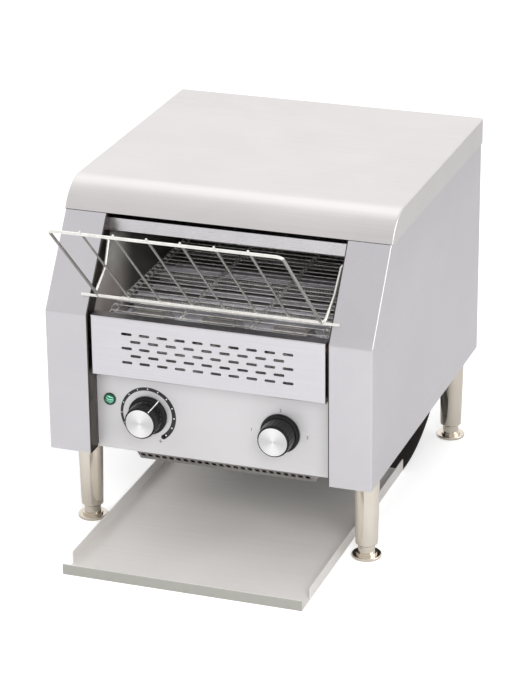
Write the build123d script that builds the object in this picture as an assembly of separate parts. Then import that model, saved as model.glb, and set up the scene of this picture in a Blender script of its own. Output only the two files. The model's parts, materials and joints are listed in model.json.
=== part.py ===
from build123d import *
import math
import os

# Conveyor toaster. Millimetres, +Z up. While modelling, x = 0 is the middle of the
# machine, y = 0 the front face of the side panels (+Y to the rear) and z = 0 the
# counter. On export everything moves along Y, so that the origin is the middle of the
# whole machine's footprint.

# ---------------------------------------------------------------- casing
SHEET = 1.0               # wall of every folded sheet
BODY_WIDTH = 366.0        # over the two side panels
BODY_DEPTH = 418.0        # front face to rear panel
UNDERSIDE = 104.5         # underside of the casing
FRONT_HEIGHT = 161.0      # underside to the bend where the front starts to slope back
SLOPE_HEIGHT = 92.5       # bend to the seam along the cover's lower edge
SEAM_SETBACK = 64.5       # how far back the front is at the seam
SEAM_GAP = 0.6            # open joint between the front flanges and the cover
COVER_HEIGHT = 29.0       # seam to the top of the cover
FLANGE_WIDTH = 48.5       # front flange of a side panel
FLANGE_RETURN = 18.0      # its inner edge, folded back
REAR_FLANGE = 20.0
BOTTOM_FLANGE = 45.0
BEND_RADIUS = 2.0         # outside radius of a fold
FOLD_RADIUS = 0.99        # outside radius of a tight fold
SLOPE_RADIUS = 5.0        # outside radius of the bend to the slope
COVER_RADIUS = 47.0       # rounded front of the cover
TONGUE_HEIGHT = 8.0       # side panel inside the cover skirt
COVER_FOLD_RADIUS = 2.0

# ---------------------------------------------------------------- front
VENT_SIDE_GAP = 3.0       # to the inner edge of a front flange
VENT_FACE_Y = 1.5
VENT_RETURN = 15.0
SLOT_LENGTH = 12.0
SLOT_HEIGHT = 3.0
SLOT_PITCH = 20.1
SLOT_ROW_PITCH = 8.1
SLOT_ROWS = 5
SLOTS_IN_LONG_ROW = 10
SLOT_TOP_ROW_DROP = 17.0  # panel top to the middle of the first row

PANEL_FACE_Y = 20.0       # recessed control panel
PANEL_SIDE_GAP = 0.5
PANEL_TOP_GAP = 0.5       # below the crumb pan's runners
KNOB_INSET = 59.2         # knob axis to the inner edge of a front flange
KNOB_DROP = 1.0           # knob axis below the middle of the panel
KNOB_HEIGHT = 26.0        # panel face to knob face
KNOB_GAP = 0.6            # knob skirt to the panel
KNOB_RADIUS = 18.8
KNOB_SKIRT_RADIUS = 22.0
KNOB_SKIRT = 4.6
KNOB_WALL = 2.4
KNOB_FLUTES = 24
KNOB_FLUTE_DEPTH = 0.5
INLAY_RADIUS = 16.0
INLAY_THICKNESS = 0.8
HUB_RADIUS = 6.0
SPINDLE_RADIUS = 3.0
SPINDLE_CLEARANCE = 0.05
BUSHING_RADIUS = 4.8
BUSHING_NUT_RADIUS = 7.0
BUSHING_NUT = 2.0
FIT = 0.05                # radial gap of a fixed round piece in its hole
REGULATOR_RADIUS = 12.0
REGULATOR_DEPTH = 15.0
SWITCH_SIDE = 32.0
SWITCH_DEPTH = 26.0
LAMP_INSET = 15.2         # lamp to the inner edge of the left front flange
LAMP_RISE = 13.0          # lamp above the knob axes
LAMP_RADIUS = 7.0
LAMP_BARREL_RADIUS = 5.8
LAMP_LENS_RADIUS = 5.0
LAMP_RIM = 1.8
LAMP_DEPTH = 18.0

# ---------------------------------------------------------------- air intake and fan
INTAKE_LEFT_INSET = 42.5  # to the inner edge of a front flange
INTAKE_RIGHT_INSET = 26.5
INTAKE_DEPTH_Z = 15.5     # how far it hangs below the casing
INTAKE_FRONT_Y = 23.0
INTAKE_SLOPE_RUN = 14.0
INTAKE_BACK_Y = 118.0
INTAKE_HOLE_PITCH = 8.2
INTAKE_HOLE_WIDTH = 5.0
INTAKE_HOLE_HEIGHT = 6.5
FAN_SIZE = 80.0
FAN_THICKNESS = 25.0
FAN_MOTOR_GAP = 1.5       # fan frame to the end of the gear motor
FAN_Y = 68.0
FAN_BORE_RADIUS = 38.0
FAN_HUB_RADIUS = 15.0
FAN_BLADES = 7
FAN_TIP_GAP = 1.0
FAN_SHAFT_RADIUS = 1.5
FAN_STRUT = 3.0
FAN_BLADE_LEAN = 50.0     # degrees from upright

# ---------------------------------------------------------------- belt and drive
BELT_DROP = 3.5           # upper run, at its strands' axes, below the bend
BELT_PITCH = 11.2         # strand to strand
TOAST_DROP = 70.0         # least space from the rear shaft to the rear face
BELT_TEETH = 14           # round one turn of the belt drums
BELT_SIDE_GAP = 12.0      # belt edge to a chamber wall
BELT_WIRE_RADIUS = 0.7
BELT_BAND_WIDTH = 3.0
BELT_BAND_THICKNESS = 1.0
BELT_BANDS = 4
FRONT_SHAFT_Y = 46.5
SHAFT_RADIUS = 4.0
SHAFT_CLEARANCE = 0.05
SHAFT_OVERHANG = 5.0      # past the bush
BELT_DRUMS = 3
BELT_DRUM_LENGTH = 38.0
BELT_DRUM_WALL = 2.0
BELT_SPROCKET_WIDTH = 4.0
BELT_TOOTH_WIDTH = 5.0
TOOTH_GAP = 0.3           # drum or tooth tip to strand or chain roller
TOOTH_HEIGHT = 1.4
BUSH_RADIUS = 7.0
BUSH_FLANGE_RADIUS = 9.5
BUSH_FLANGE = 1.8
BUSH_LENGTH = 6.0         # past the inner wall
CHAIN_PITCH = 6.35
CHAIN_LINKS = 14
CHAIN_TEETH = 12          # on both chain sprockets
CHAIN_ROLLER_RADIUS = 1.65
CHAIN_PLATE_HEIGHT = 5.6
CHAIN_PLATE = 0.8
CHAIN_INNER_WIDTH = 3.3
CHAIN_SPROCKET_WIDTH = 2.3
CHAIN_TOOTH_WIDTH = 1.9
CHAIN_OFFSET = 14.5       # middle of the chain to the wall's inner face
CHAIN_LEAN = 37.0         # degrees from straight down, towards the rear
MOTOR_RADIUS = 22.0
MOTOR_LENGTH = 62.0
GEARBOX_SIDE = 48.0
GEARBOX_WIDTH = 32.0
MOTOR_SHAFT_RADIUS = 4.0
MOTOR_SHAFT_DEPTH = 24.0  # inside the gearbox
MOTOR_SHAFT_HOLE_GAP = 2.0

# ---------------------------------------------------------------- heating
DROP_DEPTH = 98.0         # shield to rear face, where the toast drops
RUNNER_HEIGHT = 4.2
RUNNER_WIDTH = 8.0
RUNNER_INSET = 8.0
TUBE_RADIUS = 5.0
TUBE_BORE_RADIUS = 4.0
TUBE_OVERHANG = 6.0       # past the chamber wall
COIL_RADIUS = 2.0
TUBES_PER_ROW = 3
TUBE_CLEARANCE = 0.5
CAP_RADIUS = 7.5
CAP_LENGTH = 12.0
TUBE_INSET = 65.5         # first and last tube to the belt shafts
UPPER_TUBE_DROP = 13.0    # below the seam
UPPER_REFLECTOR_SETBACK = 7.5
UPPER_REFLECTOR_INSET = 52.0
UPPER_REFLECTOR_DROP = 6.8
UPPER_REFLECTOR_HEIGHT = 14.2
LOWER_TUBE_DROP = 19.0    # below the belt's upper run
LOWER_REFLECTOR_DROP = 17.0
LOWER_REFLECTOR_RISE = 12.0
LOWER_REFLECTOR_FLAT = 40.0
LOWER_REFLECTOR_END = 32.0

# ---------------------------------------------------------------- feed rack
RACK_WIRE_RADIUS = 1.7
RACK_ROD_RADIUS = 1.2
RACK_SIDE_GAP = 10.2      # side bar to the inner edge of a front flange
RACK_LOW_RISE = 19.0      # bottom bar above the bend
RACK_BAR_OVERHANG = 20.0  # bottom bar past the side bars
RACK_TOP_Y = -113.0
RACK_RISE = 117.0         # bottom bar to top bar
RACK_RODS = 6
RACK_ROD_PITCH = 35.8
RACK_ROD_NUB = 4.0        # rod above the top bar
RACK_CORNER_RADIUS = 6.5
RACK_WELD = 0.4           # depth to which two of its wires are welded
RACK_SEAT_GAP = 0.3
HOOK_INSET = 11.5         # behind the sloping front
HOOK_DROP = 26.0          # below the seam
HOOK_CLEARANCE = 0.1
HOOK_OVERHANG = 5.0
ARM_BEND_RADIUS = 10.0
ARM_CORNER_RADIUS = 6.0   # where it turns along the bottom bar
ARM_REACH = 29.0          # from the bottom bar to the knee
ARM_RISE = 20.3
ARM_LOW_GAP = 6.5         # to the inner edge of a front flange, at the bottom bar
ARM_KNEE_GAP = 5.7
ARM_HOOK_GAP = 3.5

# ---------------------------------------------------------------- crumb pan, tray, chute
PAN_SIDE_GAP = 7.5        # to the inner edge of a front flange
PAN_OVERHANG = 10.5       # behind the rear shaft
PAN_WALL_HEIGHT = 9.0
PAN_DROP = 4.4            # rim below the belt's lower run
SLIDE_GAP = 0.3
TRAY_SIDE_GAP = 0.5       # tray and chute inside the chamber walls' planes
TRAY_FRONT_Y = -87.5
CHUTE_RUN = 140.5         # rear edge of the tray to the rear face
TRAY_LIP = 12.5
TRAY_WALL = 14.5
TRAY_WALL_SETBACK = 27.0
CHUTE_FLAT = 9.0
CHUTE_LIFT = 1.2          # underside of the chute above the counter
CHUTE_LOW_RADIUS = 200.0
CHUTE_LOW_TURN = 27.0
CHUTE_TOP_DROP = 4.9      # below the belt shafts

# ---------------------------------------------------------------- legs and feet
LEG_X_INSET = 23.0        # from the side panel
LEG_FRONT_Y = 57.0
LEG_REAR_INSET = 28.0     # from the rear panel
LEG_TOP_RADIUS = 14.2
LEG_BOTTOM_RADIUS = 12.2
LEG_BOTTOM_Z = 15.0
LEG_CHAMFER = 1.5
STUD_RADIUS = 4.0
STUD_CLEARANCE = 0.4
STUD_LENGTH = 10.0
NUT_ACROSS = 13.0
NUT_HEIGHT = 6.5
FOOT_RADIUS = 16.5
FOOT_THICKNESS = 3.6
FOOT_STEP_RADIUS = 11.5
FOOT_STEP = 2.4
FOOT_STEM_RADIUS = 9.2
FOOT_THREAD_RADIUS = 5.0
FOOT_TRAVEL = 10.0        # how far a foot screws out
FOOT_ENGAGEMENT = 14.0    # thread still in the leg at full travel

# ---------------------------------------------------------------- rear
LOUVRE_LENGTH = 34.0
LOUVRE_HEIGHT = 3.2
LOUVRE_PITCH_X = 46.0
LOUVRE_PITCH_Z = 11.0
LOUVRE_COLUMNS = 4
LOUVRE_ROWS = 4
LOUVRE_DROP = 50.0        # middle of the louvres below the seam
SCREW_HEAD_RADIUS = 3.4
SCREW_HEAD = 2.0
SCREW_RADIUS = 1.9
SCREW_LENGTH = 7.0
SCREW_EDGE = 9.0          # screw to the edge of the rear panel
REAR_SCREW_ROWS = 3
COVER_SCREWS = 3
COVER_SCREW_DROP = 20.0   # below the top of the cover
GLAND_OFFSET = 14.5       # gland axis to the left chamber wall's inner face
GLAND_RISE = 35.5         # above the underside
GLAND_NUT_ACROSS = 22.0
GLAND_NUT = 7.0
GLAND_CAP_RADIUS = 9.6
GLAND_CAP = 12.0
GLAND_BARREL_RADIUS = 8.0
GLAND_BORE_RADIUS = 4.2
BLOCK_LENGTH = 40.0
BLOCK_WIDTH = 24.0
BLOCK_HEIGHT = 20.0
BLOCK_POLES = 3

# ---------------------------------------------------------------- worked out
HALF = BODY_WIDTH / 2
FLANGE_EDGE = HALF - FLANGE_WIDTH
WALL_HALF_GAP = FLANGE_EDGE + SHEET
FLOOR_TOP = UNDERSIDE + 2 * SHEET
BEND_HEIGHT = UNDERSIDE + FRONT_HEIGHT
SEAM_HEIGHT = BEND_HEIGHT + SLOPE_HEIGHT
BODY_TOP = SEAM_HEIGHT + COVER_HEIGHT
SLOPE = math.hypot(SEAM_SETBACK, SLOPE_HEIGHT)
SLOPE_Y = SEAM_SETBACK / SLOPE
SLOPE_Z = SLOPE_HEIGHT / SLOPE
LEG_X = HALF - LEG_X_INSET
LEG_REAR_Y = BODY_DEPTH - LEG_REAR_INSET
FOOT_THREAD_LENGTH = FOOT_TRAVEL + FOOT_ENGAGEMENT

BELT_TOP = BEND_HEIGHT - BELT_DROP
BELT_HALF_WIDTH = WALL_HALF_GAP - BELT_SIDE_GAP
BELT_LINKS = int((BODY_DEPTH - TOAST_DROP - FRONT_SHAFT_Y) / BELT_PITCH)
BELT_RADIUS = BELT_PITCH / (2 * math.sin(math.pi / BELT_TEETH))
SHAFT_Z = BELT_TOP - BELT_RADIUS
REAR_SHAFT_Y = FRONT_SHAFT_Y + BELT_LINKS * BELT_PITCH
CHAIN_X = WALL_HALF_GAP + CHAIN_OFFSET
CHAIN_RADIUS = CHAIN_PITCH / (2 * math.sin(math.pi / CHAIN_TEETH))
CHAIN_CENTRES = CHAIN_LINKS * CHAIN_PITCH
MOTOR_Y = FRONT_SHAFT_Y + CHAIN_CENTRES * math.sin(math.radians(CHAIN_LEAN))
MOTOR_Z = SHAFT_Z - CHAIN_CENTRES * math.cos(math.radians(CHAIN_LEAN))

PAN_HALF_WIDTH = FLANGE_EDGE - PAN_SIDE_GAP
PAN_BACK_Y = REAR_SHAFT_Y + PAN_OVERHANG
PAN_TOP = SHAFT_Z - BELT_RADIUS - BELT_WIRE_RADIUS - PAN_DROP
PAN_LOW = PAN_TOP - PAN_WALL_HEIGHT
VENT_HALF_WIDTH = FLANGE_EDGE - VENT_SIDE_GAP
RUNNER_TOP = PAN_LOW - SLIDE_GAP
SHIELD_TOP = RUNNER_TOP - RUNNER_HEIGHT
SHIELD_BACK_Y = BODY_DEPTH - DROP_DEPTH
PANEL_TOP = RUNNER_TOP - PANEL_TOP_GAP
KNOB_X = FLANGE_EDGE - KNOB_INSET
KNOB_Z = (UNDERSIDE + PANEL_TOP) / 2 - KNOB_DROP
LAMP_X = LAMP_INSET - FLANGE_EDGE
LAMP_Z = KNOB_Z + LAMP_RISE
INTAKE_LEFT = INTAKE_LEFT_INSET - FLANGE_EDGE
INTAKE_RIGHT = FLANGE_EDGE - INTAKE_RIGHT_INSET
FAN_X = WALL_HALF_GAP - GEARBOX_WIDTH - MOTOR_LENGTH - FAN_MOTOR_GAP - FAN_SIZE / 2

UPPER_TUBE_Z = SEAM_HEIGHT - UPPER_TUBE_DROP
UPPER_REFLECTOR_FRONT_Y = SEAM_SETBACK + UPPER_REFLECTOR_SETBACK
UPPER_REFLECTOR_BACK_Y = BODY_DEPTH - UPPER_REFLECTOR_INSET
UPPER_REFLECTOR_TOP = SEAM_HEIGHT - UPPER_REFLECTOR_DROP
UPPER_REFLECTOR_EDGE = UPPER_REFLECTOR_TOP - UPPER_REFLECTOR_HEIGHT
LOWER_TUBE_Z = BELT_TOP - LOWER_TUBE_DROP
LOWER_REFLECTOR_Z = LOWER_TUBE_Z - LOWER_REFLECTOR_DROP

HOOK_Z = SEAM_HEIGHT - HOOK_DROP
HOOK_Y = (HOOK_Z - BEND_HEIGHT) * SEAM_SETBACK / SLOPE_HEIGHT + HOOK_INSET
RACK_HALF_WIDTH = FLANGE_EDGE - RACK_SIDE_GAP
RACK_LOW_Z = BEND_HEIGHT + RACK_LOW_RISE
RACK_TOP_Z = RACK_LOW_Z + RACK_RISE
RACK_LOW_OFFSET = RACK_WIRE_RADIUS + RACK_SEAT_GAP
RACK_LOW_Y = (RACK_LOW_RISE * SLOPE_Y - RACK_LOW_OFFSET) / SLOPE_Z
RACK_RUN = math.hypot(RACK_TOP_Y - RACK_LOW_Y, RACK_RISE)
RACK_UP_Y = (RACK_TOP_Y - RACK_LOW_Y) / RACK_RUN
RACK_UP_Z = RACK_RISE / RACK_RUN
RACK_END_Y = RACK_TOP_Y + RACK_ROD_NUB * RACK_UP_Y
RACK_END_Z = RACK_TOP_Z + RACK_ROD_NUB * RACK_UP_Z

TRAY_HALF_WIDTH = WALL_HALF_GAP - TRAY_SIDE_GAP
TRAY_BACK_Y = BODY_DEPTH - CHUTE_RUN
CHUTE_TOP = SHAFT_Z - CHUTE_TOP_DROP
GLAND_X = -WALL_HALF_GAP - GLAND_OFFSET
GLAND_Z = UNDERSIDE + GLAND_RISE
GLAND_END_Y = BODY_DEPTH + GLAND_NUT + GLAND_CAP
CENTRE_Y = (RACK_END_Y + GLAND_END_Y) / 2


# ---------------------------------------------------------------- helpers
def block(x0, x1, y0, y1, z0, z1):
    """A box between two corners."""
    size = Box(x1 - x0, y1 - y0, z1 - z0)
    return Pos((x0 + x1) / 2, (y0 + y1) / 2, (z0 + z1) / 2) * size


def rod_x(y, z, radius, x0, x1):
    return Pos((x0 + x1) / 2, y, z) * Rot(0, 90, 0) * Cylinder(radius, x1 - x0)


def rod_y(x, z, radius, y0, y1):
    return Pos(x, (y0 + y1) / 2, z) * Rot(90, 0, 0) * Cylinder(radius, y1 - y0)


def rod_z(x, y, radius, z0, z1):
    return Pos(x, y, (z0 + z1) / 2) * Cylinder(radius, z1 - z0)


def wall_x(profile, x0, x1):
    """A profile drawn in Y and Z, stretched from x0 to x1."""
    return extrude(Plane.YZ.offset(x0) * profile, amount=x1 - x0)


def polygon(*points):
    return make_face(Polyline(*points, close=True))


def hexagon(across):
    return RegularPolygon(across / 2, 6, major_radius=False)


def mirrored(part):
    return part.mirror(Plane.YZ)


# ---------------------------------------------------------------- casing
def side_outline(inset=0.0):
    """A side panel seen from the side, seam level at its top."""
    outline = polygon(
        (0, UNDERSIDE),
        (0, BEND_HEIGHT),
        (SEAM_SETBACK, SEAM_HEIGHT),
        (BODY_DEPTH - SHEET, SEAM_HEIGHT),
        (BODY_DEPTH - SHEET, UNDERSIDE),
    )
    bend = outline.vertices().sort_by_distance(Vector(0, BEND_HEIGHT, 0))[0]
    outline = fillet(bend, SLOPE_RADIUS)
    return offset(outline, amount=-inset, kind=Kind.INTERSECTION) if inset else outline


def front_band(depth):
    """The strip of the side outline that runs down the front, depth deep."""
    rest = side_outline(depth)
    behind = polygon(
        (depth, UNDERSIDE - depth),
        (depth, UNDERSIDE + depth),
        (BODY_DEPTH, UNDERSIDE + depth),
        (BODY_DEPTH, UNDERSIDE - depth),
    )
    back = SEAM_SETBACK + depth / SLOPE_Z
    over = polygon(
        (back, SEAM_HEIGHT),
        (back - 2 * depth * SLOPE_Y / SLOPE_Z, SEAM_HEIGHT - 2 * depth),
        (BODY_DEPTH, SEAM_HEIGHT - 2 * depth),
        (BODY_DEPTH, SEAM_HEIGHT),
    )
    far = Pos((BODY_DEPTH + back) / 2, (UNDERSIDE + SEAM_HEIGHT) / 2)
    far *= Rectangle(BODY_DEPTH - back, SEAM_HEIGHT)
    return side_outline() - rest - behind - over - far


def is_mouth_fold(edge):
    """True for the outer edge where a front flange turns into its return."""
    middle = edge @ 0.5
    slope_y = (middle.Z - BEND_HEIGHT) * SEAM_SETBACK / SLOPE_HEIGHT
    on_front = middle.Y < max(0, slope_y) + SHEET / 2
    return on_front and abs(middle.X - FLANGE_EDGE) < FIT and middle.Z > UNDERSIDE + SHEET


def side_panel():
    """The right-hand side panel: one sheet, folded on all its edges but the top."""
    solid = wall_x(side_outline(), FLANGE_EDGE, HALF)
    corner = solid.faces().sort_by(Axis.X)[-1].edges()
    corner = corner.filter_by(lambda edge: edge.center().Z < SEAM_HEIGHT - SHEET)
    solid = fillet(corner, BEND_RADIUS)
    hollow = wall_x(side_outline(SHEET), FLANGE_EDGE - SHEET, HALF - SHEET)
    inner = hollow.faces().sort_by(Axis.X)[-1].edges()
    inner = inner.filter_by(lambda edge: edge.center().Z < SEAM_HEIGHT - 2 * SHEET)
    panel = solid - fillet(inner, BEND_RADIUS - SHEET)
    back = BODY_DEPTH - SHEET
    panel -= block(0, HALF - SHEET, SEAM_SETBACK + SHEET, back, SEAM_HEIGHT - 2 * SHEET, BODY_TOP)
    panel -= block(0, HALF - REAR_FLANGE, back - 2 * SHEET, back, UNDERSIDE + SHEET, BODY_TOP)
    panel -= block(0, HALF - BOTTOM_FLANGE, SHEET, back, 0, UNDERSIDE + 2 * SHEET)
    panel += wall_x(front_band(FLANGE_RETURN), FLANGE_EDGE, FLANGE_EDGE + SHEET)
    panel = fillet(panel.edges().filter_by(is_mouth_fold), FOLD_RADIUS)
    tongue_start = SEAM_SETBACK + TONGUE_HEIGHT
    top = SEAM_HEIGHT + TONGUE_HEIGHT
    panel += block(HALF - SHEET, HALF, tongue_start, back - BEND_RADIUS, SEAM_HEIGHT - SHEET, top)
    for leg_y in (LEG_FRONT_Y, LEG_REAR_Y):
        panel -= rod_z(LEG_X, leg_y, STUD_RADIUS + STUD_CLEARANCE, 0, SHIELD_TOP)
    panel -= rod_x(HOOK_Y, HOOK_Z, hook_hole_radius(), 0, HALF - 2 * SHEET)
    for screw_x, screw_z in rear_screw_places():
        if screw_x > 0:
            panel -= rod_y(screw_x, screw_z, SCREW_RADIUS + FIT, back - 2 * SHEET, back)
    return panel


def cover_profile(inset, bottom):
    """The cover seen from the side, inset all round, with its open end at bottom."""
    centre_z = BODY_TOP - COVER_RADIUS
    rise = SEAM_HEIGHT - centre_z
    centre_y = SEAM_SETBACK + math.sqrt(COVER_RADIUS**2 - rise**2)
    radius = COVER_RADIUS - inset
    start_y = SEAM_SETBACK + inset
    start_z = centre_z + math.sqrt(radius**2 - (centre_y - start_y) ** 2)
    low_turn = math.atan2(start_z - centre_z, centre_y - start_y)
    middle_turn = (low_turn + math.pi / 2) / 2
    middle = (
        centre_y - radius * math.cos(middle_turn),
        centre_z + radius * math.sin(middle_turn),
    )
    arc = ThreePointArc((start_y, start_z), middle, (centre_y, BODY_TOP - inset))
    rear_y = BODY_DEPTH + SHEET - inset
    rest = Polyline(
        (centre_y, BODY_TOP - inset),
        (rear_y, BODY_TOP - inset),
        (rear_y, bottom),
        (start_y, bottom),
    )
    if start_z - bottom < FIT:
        return make_face([arc, rest])
    return make_face([arc, rest, Line((start_y, bottom), (start_y, start_z))])


def top_cover():
    solid = wall_x(cover_profile(0, SEAM_HEIGHT), -HALF - SHEET, HALF + SHEET)
    sides = solid.faces().sort_by(Axis.X)
    folds = ShapeList(sides[0].edges() + sides[-1].edges())
    folds = folds.filter_by(lambda edge: edge.center().Z > SEAM_HEIGHT + SHEET)
    solid = fillet(folds, COVER_FOLD_RADIUS)
    hollow = wall_x(cover_profile(SHEET, SEAM_HEIGHT - SHEET), -HALF, HALF)
    sides = hollow.faces().sort_by(Axis.X)
    folds = ShapeList(sides[0].edges() + sides[-1].edges())
    folds = folds.filter_by(lambda edge: edge.center().Z > SEAM_HEIGHT + SHEET)
    cover = solid - fillet(folds, COVER_FOLD_RADIUS - SHEET)
    cover -= block(-HALF, HALF, 0, SEAM_SETBACK + 2 * SHEET, 0, SEAM_HEIGHT + SEAM_GAP)
    for screw_x in cover_screw_places():
        cover -= screw_hole(screw_x, BODY_TOP - COVER_SCREW_DROP, SHEET)
    return cover


def rear_panel():
    back = BODY_DEPTH - SHEET
    half = HALF - SHEET
    panel = block(-half, half, back, BODY_DEPTH, UNDERSIDE, SEAM_HEIGHT + 2 * TONGUE_HEIGHT)
    for place in GridLocations(LOUVRE_PITCH_X, LOUVRE_PITCH_Z, LOUVRE_COLUMNS, LOUVRE_ROWS):
        slot = SlotOverall(LOUVRE_LENGTH, LOUVRE_HEIGHT)
        centre = (0, BODY_DEPTH + SHEET, SEAM_HEIGHT - LOUVRE_DROP)
        plane = Plane(centre, x_dir=(1, 0, 0), z_dir=(0, -1, 0))
        panel -= extrude(plane * place * slot, amount=3 * SHEET)
    for screw_x, screw_z in rear_screw_places():
        panel -= screw_hole(screw_x, screw_z, 0)
    for screw_x in cover_screw_places():
        panel -= screw_hole(screw_x, BODY_TOP - COVER_SCREW_DROP, 0)
    panel -= rod_y(GLAND_X, GLAND_Z, GLAND_BARREL_RADIUS + FIT, back, BODY_DEPTH)
    return panel


def rear_screw_places():
    x = HALF - SCREW_EDGE
    low = UNDERSIDE + SCREW_EDGE + BEND_RADIUS
    step = (SEAM_HEIGHT - SCREW_EDGE - low) / (REAR_SCREW_ROWS - 1)
    return [(side * x, low + row * step) for side in (-1, 1) for row in range(REAR_SCREW_ROWS)]


def cover_screw_places():
    step = (BODY_WIDTH - 4 * SCREW_EDGE) / (COVER_SCREWS - 1)
    return [(index - (COVER_SCREWS - 1) / 2) * step for index in range(COVER_SCREWS)]


def screw_hole(x, z, stand_off):
    start = BODY_DEPTH - SHEET + stand_off
    return rod_y(x, z, SCREW_RADIUS + FIT, start, start + SHEET)


def screw(x, z, seat_y):
    head = rod_y(x, z, SCREW_HEAD_RADIUS, seat_y, seat_y + SCREW_HEAD)
    rim = head.faces().sort_by(Axis.Y)[-1].edges()
    head = fillet(rim, SCREW_HEAD / 2)
    slot = SCREW_HEAD / 4
    head -= block(x - SCREW_RADIUS, x + SCREW_RADIUS, seat_y + SCREW_HEAD - 2 * slot,
                  seat_y + SCREW_HEAD, z - slot, z + slot)
    head -= block(x - slot, x + slot, seat_y + SCREW_HEAD - 2 * slot, seat_y + SCREW_HEAD,
                  z - SCREW_RADIUS, z + SCREW_RADIUS)
    return head + rod_y(x, z, SCREW_RADIUS, seat_y - SCREW_LENGTH, seat_y)


def rear_panel_screws():
    return Compound(children=[screw(x, z, BODY_DEPTH) for x, z in rear_screw_places()])


def cover_screws():
    z = BODY_TOP - COVER_SCREW_DROP
    return Compound(children=[screw(x, z, BODY_DEPTH + SHEET) for x in cover_screw_places()])


def base_plate():
    """The floor of the casing, open behind the shield where the toast drops."""
    half = HALF - BEND_RADIUS
    plate = block(-half, half, PANEL_FACE_Y + SHEET, BODY_DEPTH - 2 * SHEET,
                  UNDERSIDE + SHEET, FLOOR_TOP)
    plate -= block(-WALL_HALF_GAP, WALL_HALF_GAP, SHIELD_BACK_Y, BODY_DEPTH, UNDERSIDE, FLOOR_TOP)
    plate -= block(-HALF, HALF, 0, LEG_FRONT_Y - LEG_TOP_RADIUS, UNDERSIDE, FLOOR_TOP) - block(
        -FLANGE_EDGE, FLANGE_EDGE, 0, LEG_FRONT_Y, UNDERSIDE, FLOOR_TOP)
    plate -= rod_z(FAN_X, FAN_Y, FAN_BORE_RADIUS, UNDERSIDE, FLOOR_TOP)
    for leg_x in (-LEG_X, LEG_X):
        for leg_y in (LEG_FRONT_Y, LEG_REAR_Y):
            plate -= rod_z(leg_x, leg_y, STUD_RADIUS + STUD_CLEARANCE, UNDERSIDE, FLOOR_TOP)
    return plate


def compartment_shield():
    """Roof and rear wall of the electrical compartment, with the crumb pan's runners."""
    roof = block(-WALL_HALF_GAP, WALL_HALF_GAP, PANEL_FACE_Y + SHEET, SHIELD_BACK_Y,
                 SHIELD_TOP - SHEET, SHIELD_TOP)
    wall = block(-WALL_HALF_GAP, WALL_HALF_GAP, SHIELD_BACK_Y - SHEET, SHIELD_BACK_Y,
                 FLOOR_TOP, SHIELD_TOP)
    outer = PAN_HALF_WIDTH - RUNNER_INSET
    runner = block(outer - RUNNER_WIDTH, outer, PANEL_FACE_Y + SHEET, SHIELD_BACK_Y,
                   SHIELD_TOP, RUNNER_TOP)
    return roof + wall + runner + mirrored(runner)


def control_panel():
    half = FLANGE_EDGE - PANEL_SIDE_GAP
    back = PANEL_FACE_Y + SHEET
    panel = block(-half, half, PANEL_FACE_Y, back, UNDERSIDE, PANEL_TOP)
    panel += block(-half, half, back, INTAKE_FRONT_Y - SHEET / 2, UNDERSIDE, UNDERSIDE + SHEET)
    edge = panel.edges().filter_by(Axis.X).sort_by(Axis.Y)[0:2].sort_by(Axis.Z)[0]
    panel = fillet(edge, SHEET / 2)
    for knob_x in (-KNOB_X, KNOB_X):
        panel -= rod_y(knob_x, KNOB_Z, BUSHING_RADIUS + FIT, PANEL_FACE_Y, back)
    return panel - rod_y(LAMP_X, LAMP_Z, LAMP_BARREL_RADIUS + FIT, PANEL_FACE_Y, back)


def slot_rows():
    """Middle of every slot in the vented front: long and short rows in turn."""
    for row in range(SLOT_ROWS):
        count = SLOTS_IN_LONG_ROW - row % 2
        z = BEND_HEIGHT - SLOT_TOP_ROW_DROP - row * SLOT_ROW_PITCH
        for index in range(count):
            yield (index - (count - 1) / 2) * SLOT_PITCH, z


def vent_panel():
    """Vented front of the crumb drawer: a shallow tray of sheet, open to the rear."""
    half = VENT_HALF_WIDTH
    back = VENT_FACE_Y + VENT_RETURN
    shell = block(-half, half, VENT_FACE_Y, back, PAN_LOW, BEND_HEIGHT)
    rim = shell.faces().sort_by(Axis.Y)[0].edges()
    shell = fillet(rim, BEND_RADIUS - SHEET / 2)
    shell -= block(-half + SHEET, half - SHEET, VENT_FACE_Y + SHEET, back,
                   PAN_LOW + SHEET, BEND_HEIGHT - SHEET)
    plane = Plane((0, VENT_FACE_Y, 0), x_dir=(1, 0, 0), z_dir=(0, -1, 0))
    slots = Sketch() + [Pos(x, z) * SlotOverall(SLOT_LENGTH, SLOT_HEIGHT) for x, z in slot_rows()]
    return shell - extrude(plane * slots, amount=-2 * SHEET)


def crumb_pan():
    """Pan of the crumb drawer; it starts against the return of the vented front."""
    front = VENT_FACE_Y + VENT_RETURN
    shell = block(-PAN_HALF_WIDTH, PAN_HALF_WIDTH, front, PAN_BACK_Y, PAN_LOW, PAN_TOP)
    return shell - block(-PAN_HALF_WIDTH + SHEET, PAN_HALF_WIDTH - SHEET, front + SHEET,
                         PAN_BACK_Y - SHEET, PAN_LOW + SHEET, PAN_TOP + SHEET)


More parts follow.
